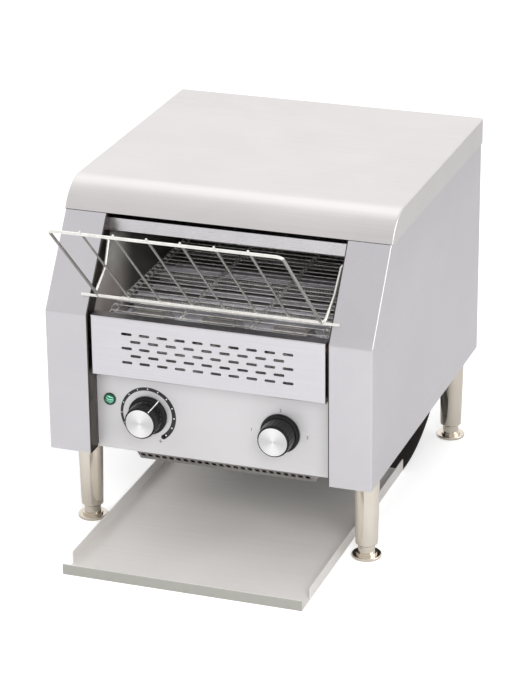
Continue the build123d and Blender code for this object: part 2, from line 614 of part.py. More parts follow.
# ---------------------------------------------------------------- controls
def knob(x):
    """Fluted knob with a skirt, hollow at the back round a hub for the spindle."""
    face = PANEL_FACE_Y - KNOB_HEIGHT + INLAY_THICKNESS
    back = PANEL_FACE_Y - KNOB_GAP
    body = rod_y(x, KNOB_Z, KNOB_RADIUS, face, back)
    flute = Pos(x, (face + back) / 2, KNOB_Z) * Rot(90, 0, 0)
    for place in PolarLocations(KNOB_RADIUS + KNOB_FLUTE_DEPTH, KNOB_FLUTES):
        body -= flute * place * Cylinder(2 * KNOB_FLUTE_DEPTH, back - face)
    skirt = rod_y(x, KNOB_Z, KNOB_SKIRT_RADIUS, back - KNOB_SKIRT, back)
    rim = skirt.faces().sort_by(Axis.Y)[0].edges()
    body += fillet(rim, KNOB_SKIRT / 2)
    body -= rod_y(x, KNOB_Z, KNOB_RADIUS - KNOB_WALL, face + 2 * KNOB_WALL, back)
    body += rod_y(x, KNOB_Z, HUB_RADIUS, face + KNOB_WALL, back - BUSHING_NUT - KNOB_GAP)
    return body - rod_y(x, KNOB_Z, SPINDLE_RADIUS + FIT, face + 2 * KNOB_WALL, back)


def knob_inlay(x):
    face = PANEL_FACE_Y - KNOB_HEIGHT
    return rod_y(x, KNOB_Z, INLAY_RADIUS, face, face + INLAY_THICKNESS)


def spindle(x, depth):
    """Shaft of a control, from inside the knob's hub to inside the control."""
    start = PANEL_FACE_Y - KNOB_HEIGHT + INLAY_THICKNESS + 2 * KNOB_WALL + SLIDE_GAP
    return rod_y(x, KNOB_Z, SPINDLE_RADIUS, start, PANEL_FACE_Y + depth / 2)


def control_bushing(x, body, depth):
    """Threaded bushing and nut that hold a control in the panel."""
    front = PANEL_FACE_Y - BUSHING_NUT
    part = body + rod_y(x, KNOB_Z, BUSHING_RADIUS, front, PANEL_FACE_Y + SHEET)
    part += rod_y(x, KNOB_Z, BUSHING_NUT_RADIUS, front, PANEL_FACE_Y)
    return part - rod_y(x, KNOB_Z, SPINDLE_RADIUS + SPINDLE_CLEARANCE, front,
                        PANEL_FACE_Y + depth / 2 + SLIDE_GAP)


def speed_regulator():
    back = PANEL_FACE_Y + SHEET
    body = rod_y(-KNOB_X, KNOB_Z, REGULATOR_RADIUS, back, back + REGULATOR_DEPTH)
    return control_bushing(-KNOB_X, body, REGULATOR_DEPTH)


def mode_switch():
    back = PANEL_FACE_Y + SHEET
    half = SWITCH_SIDE / 2
    body = block(KNOB_X - half, KNOB_X + half, back, back + SWITCH_DEPTH, KNOB_Z - half, KNOB_Z + half)
    return control_bushing(KNOB_X, body, SWITCH_DEPTH)


def lamp_housing():
    back = PANEL_FACE_Y + LAMP_DEPTH
    body = rod_y(LAMP_X, LAMP_Z, LAMP_RADIUS, PANEL_FACE_Y - LAMP_RIM, PANEL_FACE_Y)
    rim = body.faces().sort_by(Axis.Y)[0].edges()
    body = fillet(rim, LAMP_RIM / 2)
    body += rod_y(LAMP_X, LAMP_Z, LAMP_BARREL_RADIUS, PANEL_FACE_Y, back)
    return body - rod_y(LAMP_X, LAMP_Z, LAMP_LENS_RADIUS + FIT, PANEL_FACE_Y - LAMP_RIM,
                        back - LAMP_RIM)


def lamp_lens():
    front = PANEL_FACE_Y - LAMP_RIM
    lens = rod_y(LAMP_X, LAMP_Z, LAMP_LENS_RADIUS, front, PANEL_FACE_Y + LAMP_DEPTH - LAMP_RIM)
    rim = lens.faces().sort_by(Axis.Y)[0].edges()
    return fillet(rim, LAMP_RIM / 2)


# ---------------------------------------------------------------- air intake and fan
def air_intake():
    """Trough under the casing with a sloping perforated front."""
    low = UNDERSIDE - INTAKE_DEPTH_Z
    slope_y = INTAKE_FRONT_Y + INTAKE_SLOPE_RUN
    outer = polygon(
        (INTAKE_FRONT_Y, UNDERSIDE),
        (slope_y, low),
        (INTAKE_BACK_Y, low),
        (INTAKE_BACK_Y, UNDERSIDE),
    )
    run = math.hypot(INTAKE_SLOPE_RUN, INTAKE_DEPTH_Z)
    wall = SHEET * run / INTAKE_DEPTH_Z
    heel = wall + SHEET * INTAKE_SLOPE_RUN / INTAKE_DEPTH_Z
    inner = polygon(
        (INTAKE_FRONT_Y + wall, UNDERSIDE),
        (slope_y + wall - SHEET * INTAKE_SLOPE_RUN / INTAKE_DEPTH_Z, low + SHEET),
        (INTAKE_BACK_Y - SHEET, low + SHEET),
        (INTAKE_BACK_Y - SHEET, UNDERSIDE),
    )
    trough = wall_x(outer, INTAKE_LEFT, INTAKE_RIGHT)
    trough -= wall_x(inner, INTAKE_LEFT + SHEET, INTAKE_RIGHT - SHEET)
    middle = (INTAKE_LEFT + INTAKE_RIGHT) / 2
    face = Plane(
        (middle, INTAKE_FRONT_Y + INTAKE_SLOPE_RUN / 2, UNDERSIDE - INTAKE_DEPTH_Z / 2),
        x_dir=(1, 0, 0),
        z_dir=(0, -INTAKE_DEPTH_Z, -INTAKE_SLOPE_RUN),
    )
    hole = Rectangle(INTAKE_HOLE_WIDTH, INTAKE_HOLE_HEIGHT)
    count = int((INTAKE_RIGHT - INTAKE_LEFT) / INTAKE_HOLE_PITCH)
    holes = Sketch() + [
        Pos((index - (count - 1) / 2) * INTAKE_HOLE_PITCH, 0) * hole for index in range(count)
    ]
    return trough - extrude(face * holes, amount=-heel, both=True)


def fan_housing():
    half = FAN_SIZE / 2
    top = FLOOR_TOP + FAN_THICKNESS
    frame = block(FAN_X - half, FAN_X + half, FAN_Y - half, FAN_Y + half, FLOOR_TOP, top)
    uprights = frame.edges().filter_by(Axis.Z)
    frame = fillet(uprights, half - FAN_BORE_RADIUS)
    frame -= rod_z(FAN_X, FAN_Y, FAN_BORE_RADIUS, FLOOR_TOP, top)
    for turn in (45, 135):
        bar = Rot(0, 0, turn) * Box(2 * FAN_BORE_RADIUS + FAN_STRUT, FAN_STRUT, FAN_STRUT)
        frame += Pos(FAN_X, FAN_Y, FLOOR_TOP + FAN_STRUT / 2) * bar
    frame += rod_z(FAN_X, FAN_Y, FAN_HUB_RADIUS, FLOOR_TOP, FLOOR_TOP + FAN_STRUT)
    hole = FAN_SHAFT_RADIUS + SHAFT_CLEARANCE
    return frame - rod_z(FAN_X, FAN_Y, hole, FLOOR_TOP, FLOOR_TOP + FAN_STRUT)


def fan_rotor():
    low = FLOOR_TOP + FAN_STRUT + 2 * SLIDE_GAP
    top = FLOOR_TOP + FAN_THICKNESS - FAN_TIP_GAP
    hub = rod_z(FAN_X, FAN_Y, FAN_HUB_RADIUS, low, top)
    tip = FAN_BORE_RADIUS - FAN_TIP_GAP
    middle = (tip + FAN_HUB_RADIUS - FAN_TIP_GAP) / 2
    blade = Pos(middle, 0, (low + top) / 2) * Rot(FAN_BLADE_LEAN, 0, 0)
    blade *= Box(2 * (tip - middle), 2 * FAN_TIP_GAP, top - low)
    slab = rod_z(0, 0, tip, low, top)
    for index in range(FAN_BLADES):
        turned = Rot(0, 0, index * 360 / FAN_BLADES) * (blade & slab)
        hub += Pos(FAN_X, FAN_Y, 0) * turned
    return hub + rod_z(FAN_X, FAN_Y, FAN_SHAFT_RADIUS, FLOOR_TOP, low)


# ---------------------------------------------------------------- chamber and heating
def hook_hole_radius():
    return RACK_WIRE_RADIUS + HOOK_CLEARANCE


def tube_places():
    """Y and Z of every heating tube, upper row first."""
    first = FRONT_SHAFT_Y + TUBE_INSET
    step = (REAR_SHAFT_Y - TUBE_INSET - first) / (TUBES_PER_ROW - 1)
    places = [first + index * step for index in range(TUBES_PER_ROW)]
    return [[(y, z) for y in places] for z in (UPPER_TUBE_Z, LOWER_TUBE_Z)]


def chamber_wall(drive_side):
    """Right-hand wall of the toasting chamber, down to the casing's floor."""
    start = SHEET + SLIDE_GAP
    outline = side_outline(start) & polygon(
        (0, FLOOR_TOP), (0, SEAM_HEIGHT), (BODY_DEPTH - 2 * SHEET, SEAM_HEIGHT),
        (BODY_DEPTH - 2 * SHEET, FLOOR_TOP))
    wall = wall_x(outline, WALL_HALF_GAP, WALL_HALF_GAP + SHEET)
    x0, x1 = WALL_HALF_GAP, WALL_HALF_GAP + SHEET
    for shaft_y in (FRONT_SHAFT_Y, REAR_SHAFT_Y):
        wall -= rod_x(shaft_y, SHAFT_Z, BUSH_RADIUS + FIT, x0, x1)
    for row in tube_places():
        for y, z in row:
            wall -= rod_x(y, z, TUBE_RADIUS + TUBE_CLEARANCE, x0, x1)
    if drive_side:
        wall -= rod_x(MOTOR_Y, MOTOR_Z, MOTOR_SHAFT_RADIUS + MOTOR_SHAFT_HOLE_GAP, x0, x1)
    return wall - rod_x(HOOK_Y, HOOK_Z, hook_hole_radius(), x0, x1)


def upper_reflector():
    outer = Pos((UPPER_REFLECTOR_FRONT_Y + UPPER_REFLECTOR_BACK_Y) / 2,
                (UPPER_REFLECTOR_EDGE + UPPER_REFLECTOR_TOP) / 2)
    length = UPPER_REFLECTOR_BACK_Y - UPPER_REFLECTOR_FRONT_Y
    height = UPPER_REFLECTOR_TOP - UPPER_REFLECTOR_EDGE
    section = outer * Rectangle(length, height)
    section -= outer * Pos(0, -SHEET) * Rectangle(length - 2 * SHEET, height)
    hood = wall_x(section, -WALL_HALF_GAP, WALL_HALF_GAP)
    folds = hood.edges().filter_by(Axis.X).sort_by(Axis.Z)[-2:]
    hood = fillet(folds, SHEET / 2)
    notch = block(FLANGE_EDGE, WALL_HALF_GAP, 0, UPPER_REFLECTOR_FRONT_Y + FLANGE_RETURN,
                  UPPER_REFLECTOR_EDGE, BODY_TOP)
    return hood - notch - mirrored(notch)


def lower_reflector():
    """Ribbed sheet under the lower tubes: a flat below each tube, a ridge between."""
    places = [y for y, _ in tube_places()[1]]
    to_ridge = (places[1] - places[0]) / 2
    high = LOWER_REFLECTOR_Z + LOWER_REFLECTOR_RISE
    points = [(places[0] - LOWER_REFLECTOR_END, high)]
    for y in places:
        points.append((y - LOWER_REFLECTOR_FLAT / 2, LOWER_REFLECTOR_Z))
        points.append((y + LOWER_REFLECTOR_FLAT / 2, LOWER_REFLECTOR_Z))
        points.append((y + to_ridge, high))
    points[-1] = (places[-1] + LOWER_REFLECTOR_END, high)
    upper = [(y, z + SHEET) for y, z in reversed(points)]
    return wall_x(polygon(*points, *upper), -WALL_HALF_GAP, WALL_HALF_GAP)


def heating_tubes(row):
    end = WALL_HALF_GAP + SHEET + TUBE_OVERHANG
    tubes = []
    for y, z in tube_places()[row]:
        tubes.append(rod_x(y, z, TUBE_RADIUS, -end, end) - rod_x(y, z, TUBE_BORE_RADIUS, -end, end))
    return Compound(children=tubes)


def heating_coils(row):
    """One straight rod as large as each wound coil, ending in the ceramic caps."""
    end = WALL_HALF_GAP + SHEET + TUBE_OVERHANG + CAP_LENGTH / 4
    return Compound(children=[rod_x(y, z, COIL_RADIUS, -end, end) for y, z in tube_places()[row]])


def tube_end_caps():
    """Ceramic caps on the outer side of the chamber walls."""
    caps = []
    start = WALL_HALF_GAP + SHEET
    for row in tube_places():
        for y, z in row:
            cap = rod_x(y, z, CAP_RADIUS, start, start + CAP_LENGTH)
            cap -= rod_x(y, z, TUBE_RADIUS + FIT, start, start + TUBE_OVERHANG + FIT)
            cap -= rod_x(y, z, COIL_RADIUS + FIT, start, start + CAP_LENGTH)
            caps += [cap, mirrored(cap)]
    return Compound(children=caps)


# ---------------------------------------------------------------- belt and drive
def loop_places(start, lean, pitch, links, teeth):
    """Y and Z of each pitch point of a loop round two equal sprockets."""
    radius = pitch / (2 * math.sin(math.pi / teeth))
    along = Vector(math.cos(math.radians(lean)), math.sin(math.radians(lean)))
    out = Vector(-along.Y, along.X)
    first = Vector(*start)
    last = first + along * (links * pitch)
    places = []
    for index in range(links + 1):
        places.append(first + out * radius + along * (index * pitch))
        places.append(first - out * radius + along * (index * pitch))
    for index in range(1, teeth // 2):
        turn = 2 * math.pi * index / teeth
        side, reach = out * (radius * math.cos(turn)), along * (radius * math.sin(turn))
        places.append(last + side + reach)
        places.append(first + side - reach)
    return [(place.X, place.Y) for place in places]


def loop_band(start, lean, pitch, links, teeth, thickness):
    """Section of a closed band round the same two sprockets."""
    length = links * pitch
    radius = pitch / (2 * math.sin(math.pi / teeth))
    ring = SlotCenterToCenter(length, 2 * radius + thickness)
    ring -= SlotCenterToCenter(length, 2 * radius - thickness)
    return Pos(*start) * Rot(0, 0, lean) * Pos(length / 2, 0) * ring


def belt_row_step():
    """Distance between two link rows of the belt."""
    return 2 * (BELT_HALF_WIDTH - BELT_BAND_WIDTH) / (BELT_BANDS - 1)


def wire_belt():
    """Cross strands joined by link rows; the rows are drawn as thin closed bands.

    Its two straight runs and its two turns are solids of their own, face to face.
    """
    loop = ((FRONT_SHAFT_Y, SHAFT_Z), 0, BELT_PITCH, BELT_LINKS, BELT_TEETH)
    strands = [rod_x(y, z, BELT_WIRE_RADIUS, -BELT_HALF_WIDTH, BELT_HALF_WIDTH)
               for y, z in loop_places(*loop)]
    section = loop_band(*loop, BELT_BAND_THICKNESS)
    bands = []
    for index in range(BELT_BANDS):
        x = (index - (BELT_BANDS - 1) / 2) * belt_row_step()
        bands.append(wall_x(section, x - BELT_BAND_WIDTH / 2, x + BELT_BAND_WIDTH / 2))
    belt = Part() + bands + strands
    front_cut, rear_cut = FRONT_SHAFT_Y + BELT_PITCH / 2, REAR_SHAFT_Y - BELT_PITCH / 2
    pieces = [
        belt & block(-HALF, HALF, 0, front_cut, 0, BODY_TOP),
        belt & block(-HALF, HALF, rear_cut, BODY_DEPTH, 0, BODY_TOP),
        belt & block(-HALF, HALF, front_cut, rear_cut, SHAFT_Z, BODY_TOP),
        belt & block(-HALF, HALF, front_cut, rear_cut, 0, SHAFT_Z),
    ]
    return Compound(children=pieces)


def sprocket(y, z, x, width, teeth, tip, tooth_width, lean):
    """A toothed wheel; at rest its teeth point between the strands or rollers."""
    tooth = Pos(tip, 0) * Rectangle(3 * TOOTH_HEIGHT, tooth_width) & Circle(tip)
    wheel = Circle(tip - TOOTH_HEIGHT)
    for index in range(teeth):
        wheel += Rot(0, 0, lean + 90 + (index + 0.5) * 360 / teeth) * tooth
    return wall_x(Pos(y, z) * wheel, x - width / 2, x + width / 2)


def belt_sprockets(shaft_y):
    """Drums between the link rows of the belt: a thin tube between two toothed discs."""
    tube = BELT_RADIUS - BELT_WIRE_RADIUS - TOOTH_GAP
    bore = SHAFT_RADIUS + FIT
    drums = []
    for index in range(BELT_DRUMS):
        middle = (index - (BELT_DRUMS - 1) / 2) * belt_row_step()
        start, end = middle - BELT_DRUM_LENGTH / 2, middle + BELT_DRUM_LENGTH / 2
        inner = (start + BELT_SPROCKET_WIDTH, end - BELT_SPROCKET_WIDTH)
        drum = rod_x(shaft_y, SHAFT_Z, tube, *inner)
        drum -= rod_x(shaft_y, SHAFT_Z, tube - BELT_DRUM_WALL, *inner)
        for x in (start + BELT_SPROCKET_WIDTH / 2, end - BELT_SPROCKET_WIDTH / 2):
            drum += sprocket(shaft_y, SHAFT_Z, x, BELT_SPROCKET_WIDTH, BELT_TEETH, tube,
                             BELT_TOOTH_WIDTH, 0)
        drums.append(drum - rod_x(shaft_y, SHAFT_Z, bore, start, end))
    return Compound(children=drums)


def shaft_end():
    return WALL_HALF_GAP + SHEET + BUSH_LENGTH + SHAFT_OVERHANG


def front_shaft():
    drive_end = CHAIN_X + CHAIN_INNER_WIDTH + SHAFT_OVERHANG
    return rod_x(FRONT_SHAFT_Y, SHAFT_Z, SHAFT_RADIUS, -shaft_end(), drive_end)


def rear_shaft():
    return rod_x(REAR_SHAFT_Y, SHAFT_Z, SHAFT_RADIUS, -shaft_end(), shaft_end())


def shaft_bushes():
    """Flanged bushes in the chamber walls, with a running fit on the shafts."""
    bushes = []
    inner = WALL_HALF_GAP - BUSH_FLANGE
    outer = WALL_HALF_GAP + SHEET + BUSH_LENGTH
    for y in (FRONT_SHAFT_Y, REAR_SHAFT_Y):
        bush = rod_x(y, SHAFT_Z, BUSH_RADIUS, inner, outer)
        bush += rod_x(y, SHAFT_Z, BUSH_FLANGE_RADIUS, inner, WALL_HALF_GAP)
        bush -= rod_x(y, SHAFT_Z, SHAFT_RADIUS + SHAFT_CLEARANCE, inner, outer)
        bushes += [bush, mirrored(bush)]
    return Compound(children=bushes)


def chain_sprocket(y, z, bore):
    tip = CHAIN_RADIUS - CHAIN_ROLLER_RADIUS - TOOTH_GAP
    wheel = sprocket(y, z, CHAIN_X, CHAIN_SPROCKET_WIDTH, CHAIN_TEETH, tip, CHAIN_TOOTH_WIDTH,
                     CHAIN_LEAN - 90)
    start = CHAIN_X - CHAIN_INNER_WIDTH - CHAIN_PLATE
    wheel += rod_x(y, z, CHAIN_RADIUS / 2, start, CHAIN_X)
    return wheel - rod_x(y, z, bore + FIT, start, CHAIN_X + CHAIN_SPROCKET_WIDTH)


def driven_sprocket():
    return chain_sprocket(FRONT_SHAFT_Y, SHAFT_Z, SHAFT_RADIUS)


def motor_sprocket():
    return chain_sprocket(MOTOR_Y, MOTOR_Z, MOTOR_SHAFT_RADIUS)


def drive_chain():
    """Rollers between two closed side bands that stand for the link plates."""
    loop = ((FRONT_SHAFT_Y, SHAFT_Z), CHAIN_LEAN - 90, CHAIN_PITCH, CHAIN_LINKS, CHAIN_TEETH)
    half = CHAIN_INNER_WIDTH / 2
    rollers = [rod_x(y, z, CHAIN_ROLLER_RADIUS, CHAIN_X - half, CHAIN_X + half)
               for y, z in loop_places(*loop)]
    section = loop_band(*loop, CHAIN_PLATE_HEIGHT)
    left = wall_x(section, CHAIN_X - half - CHAIN_PLATE, CHAIN_X - half)
    right = wall_x(section, CHAIN_X + half, CHAIN_X + half + CHAIN_PLATE)
    return Part() + [left, right] + rollers


def gear_motor():
    """Gearbox on the inner side of the right chamber wall, motor beside it."""
    half = GEARBOX_SIDE / 2
    inner = WALL_HALF_GAP - GEARBOX_WIDTH
    body = block(inner, WALL_HALF_GAP, MOTOR_Y - half, MOTOR_Y + half, MOTOR_Z - half, MOTOR_Z + half)
    edges = body.edges().filter_by(Axis.X)
    body = fillet(edges, BUSH_LENGTH / 2)
    body += rod_x(MOTOR_Y, MOTOR_Z, MOTOR_RADIUS, inner - MOTOR_LENGTH, inner)
    return body - rod_x(MOTOR_Y, MOTOR_Z, MOTOR_SHAFT_RADIUS + SHAFT_CLEARANCE,
                        WALL_HALF_GAP - MOTOR_SHAFT_DEPTH - SLIDE_GAP, WALL_HALF_GAP)


def motor_shaft():
    end = CHAIN_X + CHAIN_INNER_WIDTH
    return rod_x(MOTOR_Y, MOTOR_Z, MOTOR_SHAFT_RADIUS, WALL_HALF_GAP - MOTOR_SHAFT_DEPTH, end)


# ---------------------------------------------------------------- feed rack
def bent_wire(points, bends, radius):
    """A round wire along straight runs joined by arcs."""
    path = FilletPolyline(*points, radius=bends) if bends else Polyline(*points)
    start = Plane(path @ 0, z_dir=path % 0)
    return sweep(start * Circle(radius), path=path)


def feed_rack():
    """Welded wire rack, drawn in its rest pose on the sloping flanges."""
    bar = rod_x(RACK_LOW_Y, RACK_LOW_Z, RACK_WIRE_RADIUS, -RACK_HALF_WIDTH - RACK_BAR_OVERHANG,
                RACK_HALF_WIDTH + RACK_BAR_OVERHANG)
    hoop = bent_wire(
        [
            (-RACK_HALF_WIDTH, RACK_LOW_Y, RACK_LOW_Z),
            (-RACK_HALF_WIDTH, RACK_TOP_Y, RACK_TOP_Z),
            (RACK_HALF_WIDTH, RACK_TOP_Y, RACK_TOP_Z),
            (RACK_HALF_WIDTH, RACK_LOW_Y, RACK_LOW_Z),
        ],
        RACK_CORNER_RADIUS,
        RACK_WIRE_RADIUS,
    )
    rack = Part() + [bar, hoop]
    across = Vector(0, RACK_UP_Z, -RACK_UP_Y) * RACK_ROD_RADIUS
    for index in range(RACK_RODS):
        x = (index - (RACK_RODS - 1) / 2) * RACK_ROD_PITCH
        low = Vector(x, RACK_LOW_Y - RACK_ROD_RADIUS * RACK_UP_Y,
                     RACK_LOW_Z - RACK_ROD_RADIUS * RACK_UP_Z)
        high = Vector(x, RACK_END_Y, RACK_END_Z)
        rack += bent_wire([low + across, high + across], None, RACK_ROD_RADIUS)
    return rack + rack_arms()


def rack_arms():
    """One wire: along the bottom bar, and at each end up into the mouth and through the wall."""
    step = 2 * RACK_WIRE_RADIUS - RACK_WELD
    right = [
        (FLANGE_EDGE - ARM_LOW_GAP, RACK_LOW_Y - step * SLOPE_Z, RACK_LOW_Z + step * SLOPE_Y),
        (FLANGE_EDGE - ARM_KNEE_GAP, RACK_LOW_Y + ARM_REACH, RACK_LOW_Z + ARM_RISE),
        (FLANGE_EDGE - ARM_HOOK_GAP, HOOK_Y, HOOK_Z),
        (WALL_HALF_GAP + SHEET + HOOK_OVERHANG, HOOK_Y, HOOK_Z),
    ]
    left = [(-x, y, z) for x, y, z in reversed(right)]
    bends = [ARM_CORNER_RADIUS, ARM_BEND_RADIUS, 2 * RACK_WIRE_RADIUS]
    return bent_wire(left + right, bends[::-1] + bends, RACK_WIRE_RADIUS)


# ---------------------------------------------------------------- tray and chute
def toast_tray():
    """Flat tray on the counter, front edge and sides turned up, rear open."""
    half = TRAY_HALF_WIDTH
    tray = block(-half, half, TRAY_FRONT_Y, TRAY_BACK_Y, 0, SHEET)
    tray += block(-half, half, TRAY_FRONT_Y, TRAY_FRONT_Y + SHEET, 0, TRAY_LIP)
    wall = block(half - SHEET, half, TRAY_FRONT_Y + TRAY_WALL_SETBACK, TRAY_BACK_Y, 0, TRAY_WALL)
    tray += [wall, mirrored(wall)]
    folds = tray.faces().sort_by(Axis.Z)[0].edges()
    folds = folds.filter_by(lambda edge: (edge @ 0.5).Y < TRAY_BACK_Y - SHEET)
    return fillet(folds, FOLD_RADIUS)


def rear_chute():
    """Curved sheet that turns the falling toast forward onto the tray."""
    start = TRAY_BACK_Y + SLIDE_GAP
    turn = math.radians(CHUTE_LOW_TURN)
    back = BODY_DEPTH - SHEET
    knee_y = start + CHUTE_FLAT + CHUTE_LOW_RADIUS * math.sin(turn)
    knee_z = CHUTE_LIFT + CHUTE_LOW_RADIUS * (1 - math.cos(turn))
    high_radius = (back - knee_y) / (1 - math.sin(turn))
    end_z = knee_z + high_radius * math.cos(turn)
    flat = Line((start, CHUTE_LIFT), (start + CHUTE_FLAT, CHUTE_LIFT))
    low = RadiusArc(flat @ 1, (knee_y, knee_z), -CHUTE_LOW_RADIUS)
    high = RadiusArc(low @ 1, (back, end_z), -high_radius)
    rise = Line(high @ 1, (back, CHUTE_TOP))
    line = Wire([flat, low, high, rise])
    section = make_face(offset(line, amount=SHEET, side=Side.LEFT))
    return wall_x(section, -WALL_HALF_GAP, WALL_HALF_GAP)


# ---------------------------------------------------------------- legs and feet
def leg(x, y):
    height = UNDERSIDE - LEG_BOTTOM_Z
    body = Pos(x, y, LEG_BOTTOM_Z + height / 2)
    body *= Cone(LEG_BOTTOM_RADIUS, LEG_TOP_RADIUS, height)
    rim = body.edges().filter_by(GeomType.CIRCLE).sort_by(Axis.Z)[0]
    body = chamfer(rim, LEG_CHAMFER)
    body += rod_z(x, y, STUD_RADIUS, UNDERSIDE, FLOOR_TOP + STUD_LENGTH)
    hole = FOOT_THREAD_RADIUS + SHAFT_CLEARANCE
    return body - rod_z(x, y, hole, LEG_BOTTOM_Z, LEG_BOTTOM_Z + FOOT_THREAD_LENGTH + SLIDE_GAP)


def foot(x, y):
    """Levelling foot, screwed right home: its stem meets the leg."""
    stem_top = LEG_BOTTOM_Z - SLIDE_GAP
    pad = rod_z(x, y, FOOT_RADIUS, 0, FOOT_THICKNESS)
    rims = pad.edges().filter_by(GeomType.CIRCLE)
    pad = fillet(rims, FOOT_THICKNESS / 3)
    pad += rod_z(x, y, FOOT_STEP_RADIUS, FOOT_THICKNESS, FOOT_THICKNESS + FOOT_STEP)
    pad += rod_z(x, y, FOOT_STEM_RADIUS, FOOT_THICKNESS, stem_top)
    return pad + rod_z(x, y, FOOT_THREAD_RADIUS, stem_top, stem_top + FOOT_THREAD_LENGTH)


def leg_places():
    return {
        "front_left": (-LEG_X, LEG_FRONT_Y),
        "front_right": (LEG_X, LEG_FRONT_Y),
        "rear_left": (-LEG_X, LEG_REAR_Y),
        "rear_right": (LEG_X, LEG_REAR_Y),
    }


def leg_nuts():
    nuts = []
    for x, y in leg_places().values():
        nut = extrude(Pos(x, y, FLOOR_TOP) * hexagon(NUT_ACROSS), amount=NUT_HEIGHT)
        nuts.append(nut - rod_z(x, y, STUD_RADIUS + FIT, FLOOR_TOP, FLOOR_TOP + NUT_HEIGHT))
    return Compound(children=nuts)


# ---------------------------------------------------------------- mains connection
def cable_gland():
    """Gland in the rear panel; the mains lead itself is not part of the model."""
    plane = Plane((GLAND_X, BODY_DEPTH, GLAND_Z), x_dir=(1, 0, 0), z_dir=(0, 1, 0))
    gland = extrude(plane * hexagon(GLAND_NUT_ACROSS), amount=GLAND_NUT)
    cap = rod_y(GLAND_X, GLAND_Z, GLAND_CAP_RADIUS, BODY_DEPTH + GLAND_NUT, GLAND_END_Y)
    rim = cap.faces().sort_by(Axis.Y)[-1].edges()
    gland += fillet(rim, GLAND_CAP / 4)
    inner = BODY_DEPTH - SHEET - GLAND_NUT
    gland += rod_y(GLAND_X, GLAND_Z, GLAND_BARREL_RADIUS, inner, BODY_DEPTH)
    return gland - rod_y(GLAND_X, GLAND_Z, GLAND_BORE_RADIUS, inner, GLAND_END_Y)


def terminal_block():
    """Terminal strip on the floor of the left-hand side space, near the gland."""
    back = LEG_REAR_Y - LEG_TOP_RADIUS - BLOCK_WIDTH / 2
    body = block(GLAND_X - BLOCK_WIDTH / 2, GLAND_X + BLOCK_WIDTH / 2, back - BLOCK_LENGTH, back,
                 FLOOR_TOP, FLOOR_TOP + BLOCK_HEIGHT)
    step = BLOCK_LENGTH / BLOCK_POLES
    for index in range(BLOCK_POLES):
        y = back - (index + 0.5) * step
        body -= rod_z(GLAND_X, y, step / 4, FLOOR_TOP + BLOCK_HEIGHT / 2, FLOOR_TOP + BLOCK_HEIGHT)
        if index:
            y += step / 2
            body -= block(GLAND_X - BLOCK_WIDTH, GLAND_X + BLOCK_WIDTH, y - SHEET / 2, y + SHEET / 2,
                          FLOOR_TOP + BLOCK_HEIGHT / 2, FLOOR_TOP + BLOCK_HEIGHT)
    return body


# ---------------------------------------------------------------- all nodes
def all_nodes():
    """Every node's name and shape."""
    nodes = {
        "right_side_panel": side_panel(),
        "left_side_panel": mirrored(side_panel()),
        "top_cover": top_cover(),
        "rear_panel": rear_panel(),
        "rear_panel_screws": rear_panel_screws(),
        "cover_screws": cover_screws(),
        "base_plate": base_plate(),
        "compartment_shield": compartment_shield(),
        "control_panel": control_panel(),
        "vent_panel": vent_panel(),
        "crumb_pan": crumb_pan(),
        "speed_knob": knob(-KNOB_X),
        "speed_knob_inlay": knob_inlay(-KNOB_X),
        "speed_spindle": spindle(-KNOB_X, REGULATOR_DEPTH),
        "speed_regulator": speed_regulator(),
        "mode_knob": knob(KNOB_X),
        "mode_knob_inlay": knob_inlay(KNOB_X),
        "mode_spindle": spindle(KNOB_X, SWITCH_DEPTH),
        "mode_switch": mode_switch(),
        "lamp_housing": lamp_housing(),
        "lamp_lens": lamp_lens(),
        "air_intake": air_intake(),
        "fan_housing": fan_housing(),
        "fan_rotor": fan_rotor(),
        "right_chamber_wall": chamber_wall(True),
        "left_chamber_wall": mirrored(chamber_wall(False)),
        "upper_reflector": upper_reflector(),
        "lower_reflector": lower_reflector(),
        "upper_heating_tubes": heating_tubes(0),
        "lower_heating_tubes": heating_tubes(1),
        "upper_heating_coils": heating_coils(0),
        "lower_heating_coils": heating_coils(1),
        "tube_end_caps": tube_end_caps(),
        "wire_belt": wire_belt(),
        "front_shaft": front_shaft(),
        "rear_shaft": rear_shaft(),
        "front_belt_sprockets": belt_sprockets(FRONT_SHAFT_Y),
        "rear_belt_sprockets": belt_sprockets(REAR_SHAFT_Y),
        "shaft_bushes": shaft_bushes(),
        "driven_sprocket": driven_sprocket(),
        "drive_chain": drive_chain(),
        "motor_sprocket": motor_sprocket(),
        "motor_shaft": motor_shaft(),
        "gear_motor": gear_motor(),
        "feed_rack": feed_rack(),
        "toast_tray": toast_tray(),
        "rear_chute": rear_chute(),
        "leg_nuts": leg_nuts(),
        "cable_gland": cable_gland(),
        "terminal_block": terminal_block(),
    }
    for name, (x, y) in leg_places().items():
        nodes[f"{name}_leg"] = leg(x, y)
        nodes[f"{name}_foot"] = foot(x, y)
    return nodes


def main():
    os.makedirs("parts", exist_ok=True)
    for name, shape in all_nodes().items():
        export_step(Pos(0, -CENTRE_Y, 0) * shape, f"parts/{name}.step")


if __name__ == "__main__":
    main()
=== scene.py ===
import json
import math

import bmesh
import bpy
from mathutils import Matrix, Vector


